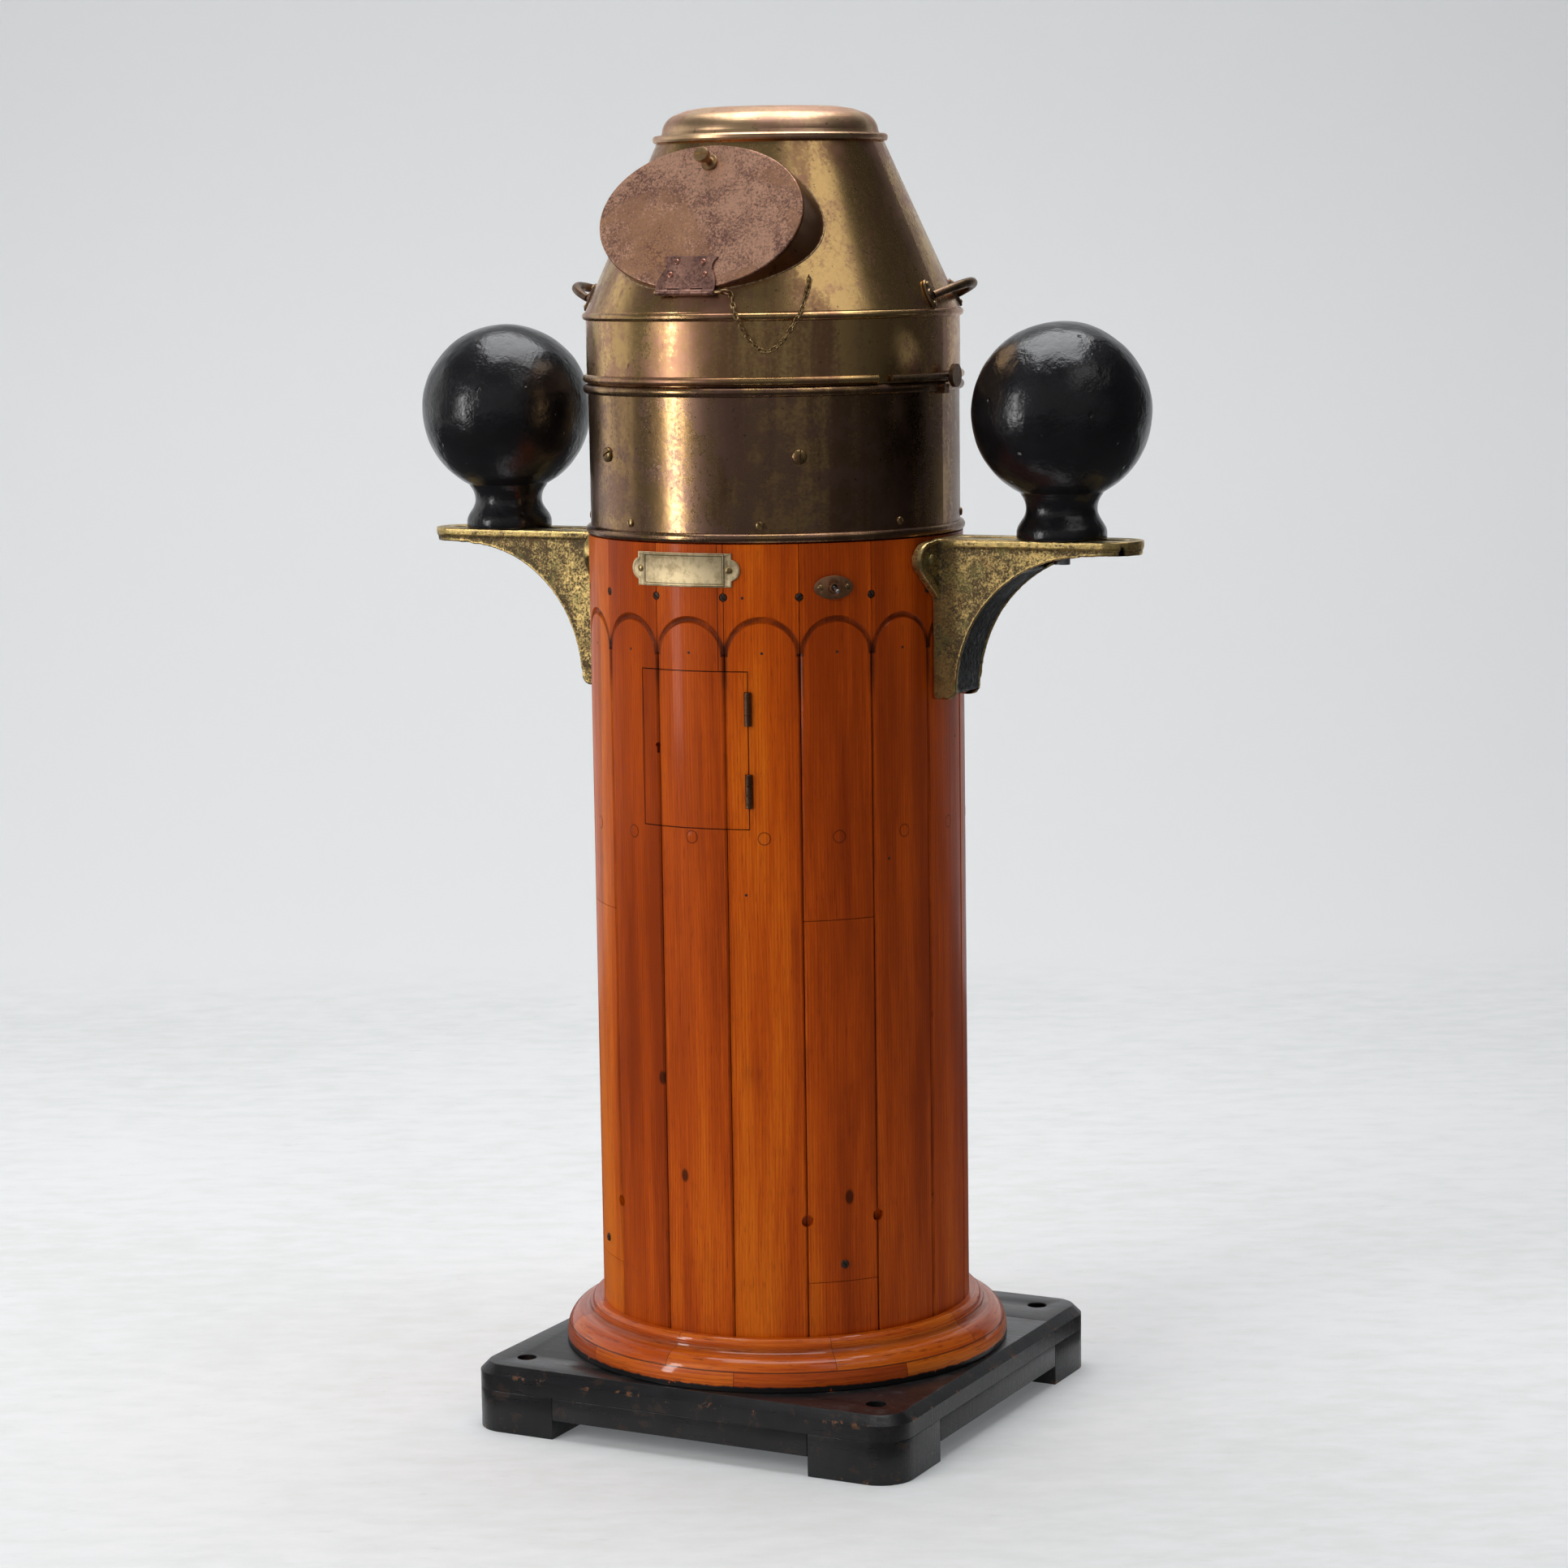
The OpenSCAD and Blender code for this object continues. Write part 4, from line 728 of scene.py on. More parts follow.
def lathe(profile, steps=192):
    """A turned solid from (radius, height) points, from the bottom of the axis to the top."""
    verts, faces, rows = [], [], []
    for radius, height in profile:
        if radius < 1e-7:
            rows.append([len(verts)] * steps)
            verts.append((0.0, 0.0, height))
            continue
        rows.append(list(range(len(verts), len(verts) + steps)))
        verts += [(radius * math.cos(a), radius * math.sin(a), height) for a in turns(steps)]
    for low, high in zip(rows, rows[1:]):
        for i in range(steps):
            j = (i + 1) % steps
            ring = [low[i], low[j], high[j], high[i]]
            face = [v for k, v in enumerate(ring) if v != ring[k - 1]]
            if len(face) > 2:
                faces.append(face)
    return verts, faces


def arc_points(cx, cy, r, start, end, count=12):
    angles = [math.radians(start + (end - start) * i / count) for i in range(count + 1)]
    return [(cx + r * math.cos(a), cy + r * math.sin(a)) for a in angles]


def tube(path, radii, sides=12, closed=False):
    """A round rod swept along points, with a radius at each point and flat closed ends."""
    path = [Vector(p) for p in path]
    count = len(path)
    verts = []
    side = None
    for i, point in enumerate(path):
        if closed:
            along = (path[(i + 1) % count] - path[i - 1]).normalized()
        else:
            along = (path[min(i + 1, count - 1)] - path[max(i - 1, 0)]).normalized()
        if side is None:
            side = along.orthogonal().normalized()
        side = (side - along * side.dot(along)).normalized()
        other = along.cross(side)
        radius = radii[i] if isinstance(radii, (list, tuple)) else radii
        verts += [point + (side * math.cos(a) + other * math.sin(a)) * radius
                  for a in turns(sides)]
    starts = [i * sides for i in range(count)]
    if closed:
        return verts, bands(starts + [0], sides)
    return verts, capped(starts, sides)


def joined(parts):
    """Several (verts, faces) pairs as one."""
    verts, faces = [], []
    for v, f in parts:
        start = len(verts)
        verts += list(v)
        faces += [[i + start for i in face] for face in f]
    return verts, faces


def moved(part, matrix):
    verts, faces = part
    return [matrix @ Vector(v) for v in verts], faces


def outward(mesh):
    """Joins doubles and turns every face outwards."""
    with editing(mesh) as work:
        bmesh.ops.remove_doubles(work, verts=work.verts, dist=1e-7)
        bmesh.ops.recalc_face_normals(work, faces=work.faces)
    return mesh


def dented(mesh, scale, depth, only_in=False, seed=0.0):
    """Moves each vertex along its normal by a slow noise; only_in keeps it inside its box."""
    shift = Vector((seed, seed * 0.7, -seed))
    normals = [v.normal.copy() for v in mesh.vertices]
    for v, n in zip(mesh.vertices, normals):
        amount = lumps.noise(v.co * scale + shift)
        if only_in:
            amount = min(0.0, amount - 0.5)
        v.co += n * amount * depth
    mesh.update()
    return mesh


def place_round(degrees, radius, height):
    """Frame at an angle round the pedestal: X points outwards, Y towards growing angle."""
    turn = Matrix.Rotation(math.radians(degrees - 90), 4, "Z")
    return turn @ Matrix.Translation((radius, 0, height))


OUTWARDS = Matrix.Rotation(math.pi / 2, 4, "Y")

JOINTS = {j["name"]: j for j in frame["joints"]}
LID_UP = Vector(JOINTS["knob_turn"]["axis"]).normalized()
LID_RISE = Vector((0, LID_UP.z, -LID_UP.y))
KNOB_V = 57 * MM
LID_AT = Vector(JOINTS["knob_turn"]["pos_m"]) - LID_RISE * KNOB_V
LID_FRAME = Matrix(((1, LID_RISE.x, LID_UP.x, LID_AT.x), (0, LID_RISE.y, LID_UP.y, LID_AT.y),
                    (0, LID_RISE.z, LID_UP.z, LID_AT.z), (0, 0, 0, 1)))


# ---------- geometry node trees ----------


class Growth:
    """A geometry node tree under construction, with named inputs."""

    def __init__(self, name, inputs):
        self.tree = bpy.data.node_groups.new(name, "GeometryNodeTree")
        face = self.tree.interface
        face.new_socket(name="Geometry", in_out="OUTPUT", socket_type="NodeSocketGeometry")
        face.new_socket(name="Geometry", in_out="INPUT", socket_type="NodeSocketGeometry")
        self.ids = {}
        for label, kind, value in inputs:
            socket = face.new_socket(name=label, in_out="INPUT", socket_type=kind)
            if value is not None:
                socket.default_value = value
            self.ids[label] = socket.identifier
        self.start = self.tree.nodes.new("NodeGroupInput")
        self.end = self.tree.nodes.new("NodeGroupOutput")

    def node(self, kind, settings=None, links=None):
        """A node with its settings, then its sockets by name or number, as values or links."""
        made = self.tree.nodes.new(kind)
        for key, value in (settings or {}).items():
            setattr(made, key, value)
        for key, value in (links or {}).items():
            slot = made.inputs[key]
            if isinstance(value, bpy.types.NodeSocket):
                self.tree.links.new(value, slot)
            else:
                slot.default_value = value
        return made

    def given(self, label):
        return self.start.outputs[label]

    def math(self, operation, a, b):
        return self.node("ShaderNodeMath", {"operation": operation}, {0: a, 1: b}).outputs[0]

    def close(self, geometry, material):
        real = self.node("GeometryNodeRealizeInstances", links={"Geometry": geometry})
        coated = self.node("GeometryNodeSetMaterial",
                           links={"Geometry": real.outputs[0], "Material": material})
        self.tree.links.new(coated.outputs[0], self.end.inputs[0])

    def grow(self, source, name, values):
        """Runs the tree on an object and gives back a plain mesh."""
        modifier = source.modifiers.new(name, "NODES")
        modifier.node_group = self.tree
        for label, value in values.items():
            modifier[self.ids[label]] = value
        return settled(source, name)


def fastener_tree():
    """One copy of a fastener at each point, standing along its facing, turned at random."""
    g = Growth("fasteners", [("Fastener", "NodeSocketObject", None),
                             ("Seed", "NodeSocketInt", 0),
                             ("Turn", "NodeSocketFloat", math.pi),
                             ("Finish", "NodeSocketMaterial", None)])
    facing = g.node("GeometryNodeInputNamedAttribute", {"data_type": "FLOAT_VECTOR"},
                    {"Name": "facing"})
    size = g.node("GeometryNodeInputNamedAttribute", {"data_type": "FLOAT"}, {"Name": "size"})
    stand = g.node("FunctionNodeAlignRotationToVector", {"axis": "Z"},
                   {"Vector": facing.outputs["Attribute"]})
    chance = g.node("FunctionNodeRandomValue", {"data_type": "FLOAT"}, {"Seed": g.given("Seed")})
    angle = g.math("MULTIPLY", chance.outputs[1], g.given("Turn"))
    spin = g.node("FunctionNodeAxisAngleToRotation", links={"Axis": (0, 0, 1), "Angle": angle})
    turned = g.node("FunctionNodeRotateRotation", {"rotation_space": "LOCAL"},
                    {"Rotation": stand.outputs[0], "Rotate By": spin.outputs[0]})
    copy = g.node("GeometryNodeObjectInfo", links={"Object": g.given("Fastener")})
    spread = g.node("GeometryNodeInstanceOnPoints",
                    links={"Points": g.given("Geometry"), "Instance": copy.outputs["Geometry"],
                           "Rotation": turned.outputs[0],
                           "Scale": size.outputs["Attribute"]})
    g.close(spread.outputs[0], g.given("Finish"))
    return g


def link_tree():
    """Oval links along a path, each turned a quarter from the one before."""
    g = Growth("chain", [("Link", "NodeSocketObject", None), ("Pitch", "NodeSocketFloat", 0.006),
                         ("Lean", "NodeSocketFloat", 0.8), ("Seed", "NodeSocketInt", 0),
                         ("Finish", "NodeSocketMaterial", None)])
    path = g.node("GeometryNodeMeshToCurve", links={"Mesh": g.given("Geometry")})
    spaced = g.node("GeometryNodeResampleCurve", {"mode": "LENGTH"},
                    {"Curve": path.outputs[0], "Length": g.given("Pitch")})
    along = g.node("GeometryNodeInputTangent")
    stand = g.node("FunctionNodeAlignRotationToVector", {"axis": "X"},
                   {"Vector": along.outputs[0]})
    number = g.node("GeometryNodeInputIndex")
    odd = g.math("MODULO", number.outputs[0], 2.0)
    jitter = g.node("FunctionNodeRandomValue", {"data_type": "FLOAT"},
                    {"Min": -0.25, "Max": 0.25, "Seed": g.given("Seed")})
    quarter = g.math("MULTIPLY", odd, math.pi / 2)
    lean = g.math("ADD", quarter, g.given("Lean"))
    angle = g.math("ADD", lean, jitter.outputs[1])
    spin = g.node("FunctionNodeAxisAngleToRotation", links={"Axis": (1, 0, 0), "Angle": angle})
    turned = g.node("FunctionNodeRotateRotation", {"rotation_space": "LOCAL"},
                    {"Rotation": stand.outputs[0], "Rotate By": spin.outputs[0]})
    copy = g.node("GeometryNodeObjectInfo", links={"Object": g.given("Link")})
    spread = g.node("GeometryNodeInstanceOnPoints",
                    links={"Points": spaced.outputs[0], "Instance": copy.outputs["Geometry"],
                           "Rotation": turned.outputs[0]})
    g.close(spread.outputs[0], g.given("Finish"))
    return g


FASTENERS = fastener_tree()
CHAIN = link_tree()


def boxed(work, centre, size):
    """Adds a box to a bmesh."""
    bmesh.ops.create_cube(work, size=1.0,
                          matrix=Matrix.Translation(centre) @ Matrix.Diagonal((*size, 1)))


def cut_slot(mesh, width, depth, length):
    """Saws a slot across the top of a head that stands on Z."""
    top = max(v.co.z for v in mesh.vertices)
    head = loose("head", mesh)
    saw_mesh = bpy.data.meshes.new("saw")
    with editing(saw_mesh) as work:
        boxed(work, (0, 0, top), (length, width, depth * 2))
    saw = loose("saw", saw_mesh)
    cut = head.modifiers.new("slot", "BOOLEAN")
    cut.operation = "DIFFERENCE"
    cut.solver = "EXACT"
    cut.object = saw
    result = settled(head, "slotted")
    bpy.data.objects.remove(saw)
    return result


def screw_head(dome=0.42, sides=28, slotted=True):
    """A screw head of radius 1 standing on z 0, with its rim rounded over."""
    rim = [(0.0, -0.10), (0.98, -0.10), (1.0, 0.0), (1.0, 0.10)]
    crown = [(math.cos(a) ** 0.8, 0.10 + dome * math.sin(a))
             for a in (math.radians(10 * i) for i in range(1, 9))]
    mesh = mesh_of("head", *lathe(rim + crown + [(0.0, 0.10 + dome)], sides))
    if slotted:
        mesh = cut_slot(mesh, 0.24, 0.34, 3.0)
    return mesh


def fasteners(name, spots, head, body, finish, replaced=(), seed=1):
    """Spots are (place, facing, size); the head mesh has radius 1."""
    mesh = mesh_of(name + "_spots", [s[0] for s in spots], [])
    mesh.attributes.new("facing", "FLOAT_VECTOR", "POINT")
    mesh.attributes["facing"].data.foreach_set("vector", [c for s in spots for c in s[1]])
    mesh.attributes.new("size", "FLOAT", "POINT")
    mesh.attributes["size"].data.foreach_set("value", [s[2] for s in spots])
    tool = loose(name + "_tool", head.copy())
    grown = FASTENERS.grow(loose(name + "_grown", mesh), name,
                           {"Fastener": tool, "Seed": seed, "Turn": math.pi,
                            "Finish": FINISHES[finish]})
    bpy.data.objects.remove(tool)
    return piece(name, grown, body, finish, replaced, 40.0)


def round_spot(degrees, radius, height, size):
    """A spot on the round body, facing straight out."""
    at = place_round(degrees, radius, height)
    return at.translation, at.to_3x3() @ Vector((1, 0, 0)), size


# ---------- screws, plugs and nail holes ----------

SLOTTED = screw_head()
DOMED = screw_head(0.62, 24, False)
DRUM_R = 187.5 * MM


def add_screws():
    rim_z, big_z = 922 * MM, 988 * MM
    drum = [round_spot((i + 0.5) * 45, DRUM_R + 0.0001, rim_z, 4.1 * MM) for i in range(8)]
    drum += [round_spot(turn + side * 34.5, DRUM_R + 0.0001, big_z, 7.4 * MM)
             for turn in (0, 180) for side in (-1, 1)]
    fasteners("drum_screw_heads", drum, SLOTTED, "pedestal", "screw_brass",
              ("drum_screws",), seed=4)
    dark = [round_spot((i + 0.5) * 22.5, COLUMN_R - 1.6 * MM, 852.5 * MM, 3.9 * MM)
            for i in range(16)]
    fasteners("column_screw_heads", dark, SLOTTED, "pedestal", "screw_dark",
              ("column_screws",), seed=7)
    plates = ((-16.9, 1.4, 879, 3.4), (13.1, 1.4, 879, 3.4), (39.9, 2.5, 861, 3.0),
              (48.1, 2.5, 861, 3.0))
    plate = [round_spot(degrees, COLUMN_R + proud * MM, z * MM, size * MM)
             for degrees, proud, z, size in plates]
    fasteners("plate_screw_heads", plate, SLOTTED, "pedestal", "screw_brass",
              ("plate_screws",), seed=11)
    for node, degrees in (("access_panel_left", -45), ("access_panel_right", 45)):
        fasteners(node + "_screw", [round_spot(degrees, COLUMN_R + 0.0001, 186 * MM, 4.2 * MM)],
                  SLOTTED, node.replace("access_", ""), "screw_dark",
                  seed=3)


def disc_mesh():
    """A flat plug of radius 1, its rim slightly rounded."""
    return mesh_of("plug", *lathe([(0, -0.12), (0.97, -0.12), (1.0, -0.08), (1.0, 0.004),
                                   (0.96, 0.018), (0, 0.022)], 32))


def add_plugs():
    """Wooden plugs over the staves' fixings, and nail holes, as (degrees, height in mm)."""
    plug = disc_mesh()
    plugs = [(k * 22.5, 616) for k in range(-3, 4)] + [(61, 546), (119, 546)]
    plugs += [(k * 22.5, 616) for k in range(5, 12)]
    plugs += [(-70, 300), (80, 236), (152, 420)]
    # the nail holes are flat discs coloured as painted shade
    holes = [(k * 22.5, 798) for k in range(16)]
    holes += [(17, 852), (16.8, 560), (61.5, 590), (96, 700)]
    for name, rows, sunk, size, finish, seed in (
            ("wood_plugs", plugs, 0.00002, 6.0 * MM, "stave_teak", 5),
            ("nail_holes", holes, 0.00003, 1.5 * MM, "hole_shade", 6)):
        spots = [round_spot(degrees, COLUMN_R - sunk, z * MM, size) for degrees, z in rows]
        fasteners(name, spots, plug, "pedestal", finish, seed=seed)


# ---------- spheres ----------

SPHERE_R = 88.9 * MM
SPHERE_Z = 1025.8 * MM
SPHERE_X = 315 * MM
FOOT_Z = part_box("sphere_right")[0].z


def add_sphere(side, node, body):
    """A cast ball running down through a waist to its spread foot, thick with paint."""
    foot_r, waist_r, waist_z = 45 * MM, 35.5 * MM, 931 * MM
    edge = FOOT_Z + 6 * MM
    profile = [(0, FOOT_Z), (foot_r - 1.6 * MM, FOOT_Z), (foot_r - 0.5 * MM, FOOT_Z + 0.4 * MM),
               (foot_r, FOOT_Z + 1.5 * MM), (foot_r, edge - 1.2 * MM)]
    for i in range(1, 15):
        t = i / 14
        profile.append((waist_r + (foot_r - waist_r) * (1 + math.cos(math.pi * t)) / 2,
                        edge + (waist_z - edge) * t))
    profile += [(waist_r + 5.2 * MM * (i / 7) ** 2.2, waist_z + 14.6 * MM * i / 7)
                for i in range(1, 8)]
    profile += arc_points(0, SPHERE_Z, SPHERE_R, -62.4, 90, 72)[:-1] + [(0, SPHERE_Z + SPHERE_R)]
    mesh = mesh_of(node + "_cast", *lathe(profile, 168))
    outward(mesh)
    dented(mesh, 26.0, 0.9 * MM, only_in=True, seed=3.0 + side)
    dented(mesh, 80.0, 0.25 * MM, only_in=True, seed=8.0 + side)
    mesh.transform(Matrix.Translation((side * SPHERE_X, 0, 0)))
    piece(node + "_cast", mesh, body, "sphere_paint", (node,), 50.0)


# ---------- brackets ----------

SKIN_STEP = 1.2 * MM


def add_bracket(side, node):
    """The casting: rims added to the plain shape, then all of it softened into one skin."""
    turn = Matrix.Rotation(0 if side > 0 else math.pi, 4, "Z")
    parts = []
    half = 29.9 * MM
    for way in (-1, 1):
        rim = [Vector((x * MM, way * half, z * MM))
               for x, z in arc_points(350, 750, 137.4, 92, 176, 30)]
        parts.append(tube(rim, 1.5 * MM, 8))
        outline = [(24, 899.3), (36, 899.4)] + arc_points(44, 882, 15.2, 84, -42, 14)
        outline += [(44, 863), (31, 848)]
        ear_r = COLUMN_R + 8.3 * MM
        ear = [Vector((math.sqrt(max(ear_r * ear_r - (y * MM) ** 2, 0)), way * y * MM, z * MM))
               for y, z in outline]
        parts.append(tube(ear, 2.3 * MM, 10))
    mesh = merged_copy(node)
    extra = mesh_of("rims", *moved(joined(parts), turn))
    with editing(mesh) as work:
        work.from_mesh(extra)
    cast = loose(node + "_work", mesh)
    skin = cast.modifiers.new("skin", "REMESH")
    skin.mode = "VOXEL"
    skin.voxel_size = SKIN_STEP
    soft = cast.modifiers.new("soft", "SMOOTH")
    soft.factor = 0.5
    soft.iterations = 3
    mesh = settled(cast, node + "_cast")
    mark_wear(mesh)
    rough_skin(mesh)
    low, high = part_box(node)
    for v in mesh.vertices:
        v.co.x = min(max(v.co.x, low.x), high.x)
        v.co.z = min(v.co.z, high.z)
    piece(node + "_cast", mesh, "pedestal", "cast_brass", (node,), 60.0)


def mark_wear(mesh):
    """Stores how proud each vertex stands, from 0 in a hollow to 1 on an edge."""
    count = len(mesh.vertices)
    place, away = np.empty(count * 3), np.empty(count * 3)
    mesh.vertices.foreach_get("co", place)
    mesh.vertex_normals.foreach_get("vector", away)
    place, away = place.reshape(-1, 3), away.reshape(-1, 3)
    ends = np.empty(len(mesh.edges) * 2, dtype=np.int64)
    mesh.edges.foreach_get("vertices", ends)
    ends = ends.reshape(-1, 2)
    links = np.bincount(ends.ravel(), minlength=count).astype(float)
    links[links == 0] = 1.0

    def around(values):
        total = np.zeros_like(values)
        np.add.at(total, ends[:, 0], values[ends[:, 1]])
        np.add.at(total, ends[:, 1], values[ends[:, 0]])
        return total / (links[:, None] if values.ndim > 1 else links)

    proud = ((place - around(place)) * away).sum(axis=1) / SKIN_STEP
    for _ in range(6):
        proud = proud * 0.5 + around(proud) * 0.5
    worn = np.clip(0.1 + proud * 9.0, 0.0, 1.0)
    mesh.attributes.new("worn", "FLOAT", "POINT")
    mesh.attributes["worn"].data.foreach_set("value", worn)


def rough_skin(mesh):
    """Sand-cast skin: fine lumps that leave the rubbed top face smooth."""
    normals = [v.normal.copy() for v in mesh.vertices]
    for v, n in zip(mesh.vertices, normals):
        flat_top = max(0.0, n.z)
        amount = lumps.noise(v.co * 170.0) * 0.28 + lumps.noise(v.co * 420.0) * 0.16
        v.co += n * amount * (1.0 - flat_top) * MM
    mesh.update()


def add_rivets():
    spots = [round_spot(90 + turn + side * 12.75, COLUMN_R + 9.0 * MM, 882 * MM, 5.6 * MM)
             for turn in (0, 180) for side in (-1, 1)]
    fasteners("bracket_rivet_heads", spots, DOMED, "pedestal", "cast_brass",
              ("bracket_rivets",), seed=2)


# ---------- lid, hinge and knob ----------

LID_A = 110.8 * MM
LID_B = 75.6 * MM
LID_T = 3.0 * MM


def add_lid():
    """Spun sheet, a little uneven, with its edge rounded over."""
    sides, rings = 160, 26
    rows = [(i / rings * (1 - 1.2 * MM / LID_B), 0.0) for i in range(1, rings + 1)]
    edge = [(1 - 0.5 * MM / LID_B, -0.2 * MM), (1.0, -0.8 * MM), (1.0, -LID_T + 0.6 * MM),
            (1 - 0.6 * MM / LID_B, -LID_T)]
    under = [(r * 0.97, -LID_T) for r, _ in rows[::-6]]
    levels = rows + edge + under
    verts = [(0, 0, 0)]
    for share, w in levels:
        for a in turns(sides):
            u, v = LID_A * share * math.cos(a), LID_B * share * math.sin(a)
            sag = 0.0
            if w == 0.0:
                sag = -0.00035 * (1 + lumps.noise(Vector((u, v, 0.3)) * 22.0))
            verts.append((u, v, w + sag))
    verts.append((0, 0, -LID_T))
    starts = [1 + i * sides for i in range(len(levels))]
    last = starts[-1]
    faces = bands(starts, sides)
    faces += [[0, 1 + (k + 1) % sides, 1 + k] for k in range(sides)]
    faces += [[last + k, last + (k + 1) % sides, len(verts) - 1] for k in range(sides)]
    mesh = mesh_of("lid_plate", verts, faces)
    mesh.transform(LID_FRAME)
    outward(mesh)
    piece("lid_plate", mesh, "lid", "lid_brass", ("window_lid",), 40.0)
    leaf = bevelled("lid_hinge_leaf", 0.35 * MM)
    piece("lid_leaf", leaf, "lid", "leaf_brass", ("lid_hinge_leaf",))
    spots = [(LID_FRAME @ Vector((u * MM, v * MM, 1.85 * MM)), LID_UP, 3.0 * MM)
             for u, v in ((-14.5, -48), (14.5, -48), (-19, -61.5), (19, -61.5))]
    fasteners("lid_leaf_screws", spots, screw_head(0.30), "lid", "copper_screw",
              seed=9)


def add_knob():
    """Turned knob: washer, stem and a slotted, coned head, with its tongue under the lid."""
    profile = [(0, 0.1), (8.2, 0.1), (8.5, 0.4), (8.5, 1.5), (7.9, 2.2), (5.0, 2.5), (4.3, 3.2),
               (4.0, 5), (4.0, 11.5), (4.4, 13.2), (5.6, 14.4), (7.2, 14.9), (7.7, 15.5),
               (7.7, 20.0), (7.2, 20.7), (5.4, 21.0), (0, 21.0)]
    mesh = mesh_of("knob", *lathe([(r * MM, z * MM) for r, z in profile], 64))
    mesh = cut_slot(mesh, 1.6 * MM, 1.2 * MM, 20 * MM)
    pin = mesh_of("tongue_pin", *lathe([(0, -6.6 * MM), (3 * MM, -6.6 * MM), (3 * MM, 0.6 * MM),
                                        (0, 0.6 * MM)], 32))
    with editing(mesh) as work:
        work.from_mesh(pin)
        boxed(work, (0, 5 * MM, -5 * MM), (8 * MM, 18 * MM, 3.2 * MM))
    mesh.transform(LID_FRAME @ Matrix.Translation((0, KNOB_V, 0)))
    outward(mesh)
    piece("knob_turned", mesh, "knob", "knob_brass", ("lid_knob",))


CONE_FOOT = (188.5, 1128)  # radius and height, in mm
CONE_TOP = (113.8, 1293.6)
CONE_SLOPE = (CONE_FOOT[0] - CONE_TOP[0]) / (CONE_TOP[1] - CONE_FOOT[1])


def cone_radius(z):
    return CONE_TOP[0] * MM + (CONE_TOP[1] * MM - z) * CONE_SLOPE


def add_spout_seam():
    """Bead of solder where the oval collar meets the cone."""
    a, b = LID_A + 1.0 * MM, LID_B + 1.0 * MM
    path = []
    for t in turns(180):
        low, high = -75 * MM, 0.0
        for _ in range(40):
            w = (low + high) / 2
            p = LID_FRAME @ Vector((a * math.cos(t), b * math.sin(t), w))
            if math.hypot(p.x, p.y) > cone_radius(p.z):
                high = w
            else:
                low = w
        path.append(LID_FRAME @ Vector((a * math.cos(t), b * math.sin(t), (low + high) / 2)))
    radii = [(1.0 + 0.3 * lumps.noise(p * 60.0)) * MM for p in path]
    mesh = outward(mesh_of("spout_solder", *tube(path, radii, 8, closed=True)))
    piece("spout_solder", mesh, "helmet", "solder")


# ---------- chain ----------

CHAIN_LOW = (25.5, 1089.8)
CHAIN_START = (14.6, 1144.0)
CHAIN_END = (38.8, 1155.0)


def chain_point(degrees):
    """A point of the hanging chain on the helmet, at an angle from the front."""
    end, power = (CHAIN_START, 2.1) if degrees < CHAIN_LOW[0] else (CHAIN_END, 1.7)
    share = (degrees - CHAIN_LOW[0]) / (end[0] - CHAIN_LOW[0])
    z = CHAIN_LOW[1] + (end[1] - CHAIN_LOW[1]) * share ** power
    lift = 4.2 * max(0.0, 1 - abs(z - 1123.0) / 14)
    r = (CONE_FOOT[0] if z < CONE_FOOT[1] else cone_radius(z * MM) / MM) + lift + 3.1
    a = math.radians(degrees)
    return Vector((r * math.sin(a), -r * math.cos(a), z)) * MM


def chain_link():
    """An oval wire link, a few dozen faces."""
    half, bend = 1.95 * MM, 1.95 * MM
    path = [Vector((half + bend * math.cos(a), bend * math.sin(a), 0))
            for a in (math.radians(-90 + 180 * i / 6) for i in range(7))]
    path += [Vector((-p.x, -p.y, 0)) for p in path]
    return mesh_of("link", *tube(path, 0.80 * MM, 7, closed=True))


def add_chain():
    """Links hung along the helmet's front, and the eye that holds their end."""
    steps = 160
    points = [chain_point(CHAIN_START[0] + (CHAIN_END[0] - CHAIN_START[0]) * i / steps)
              for i in range(steps + 1)]
    mesh = mesh_of("chain_path", points, [], [(i, i + 1) for i in range(steps)])
    tool = loose("link_tool", chain_link())
    grown = CHAIN.grow(loose("chain_grown", mesh), "chain_links",
                       {"Link": tool, "Pitch": 5.9 * MM, "Lean": 0.6, "Seed": 3,
                        "Finish": FINISHES["chain_brass"]})
    bpy.data.objects.remove(tool)
    outward(grown)
    piece("chain_links", grown, "helmet", "chain_brass",
          ("retaining_chain",), 60.0)
    a = math.radians(CHAIN_END[0])
    out = Vector((math.sin(a), -math.cos(a), 0.0))
    up = Vector((0, 0, 1))
    centre = chain_point(CHAIN_END[0]) + up * 3.6 * MM - out * 1.6 * MM
    ring = [centre + (out * math.cos(t) + up * math.sin(t)) * 3.4 * MM for t in turns(28)]
    mesh = outward(mesh_of("chain_eye", *tube(ring, 0.95 * MM, 10, closed=True)))
    piece("chain_eye", mesh, "helmet", "chain_brass")


# ---------- handles ----------


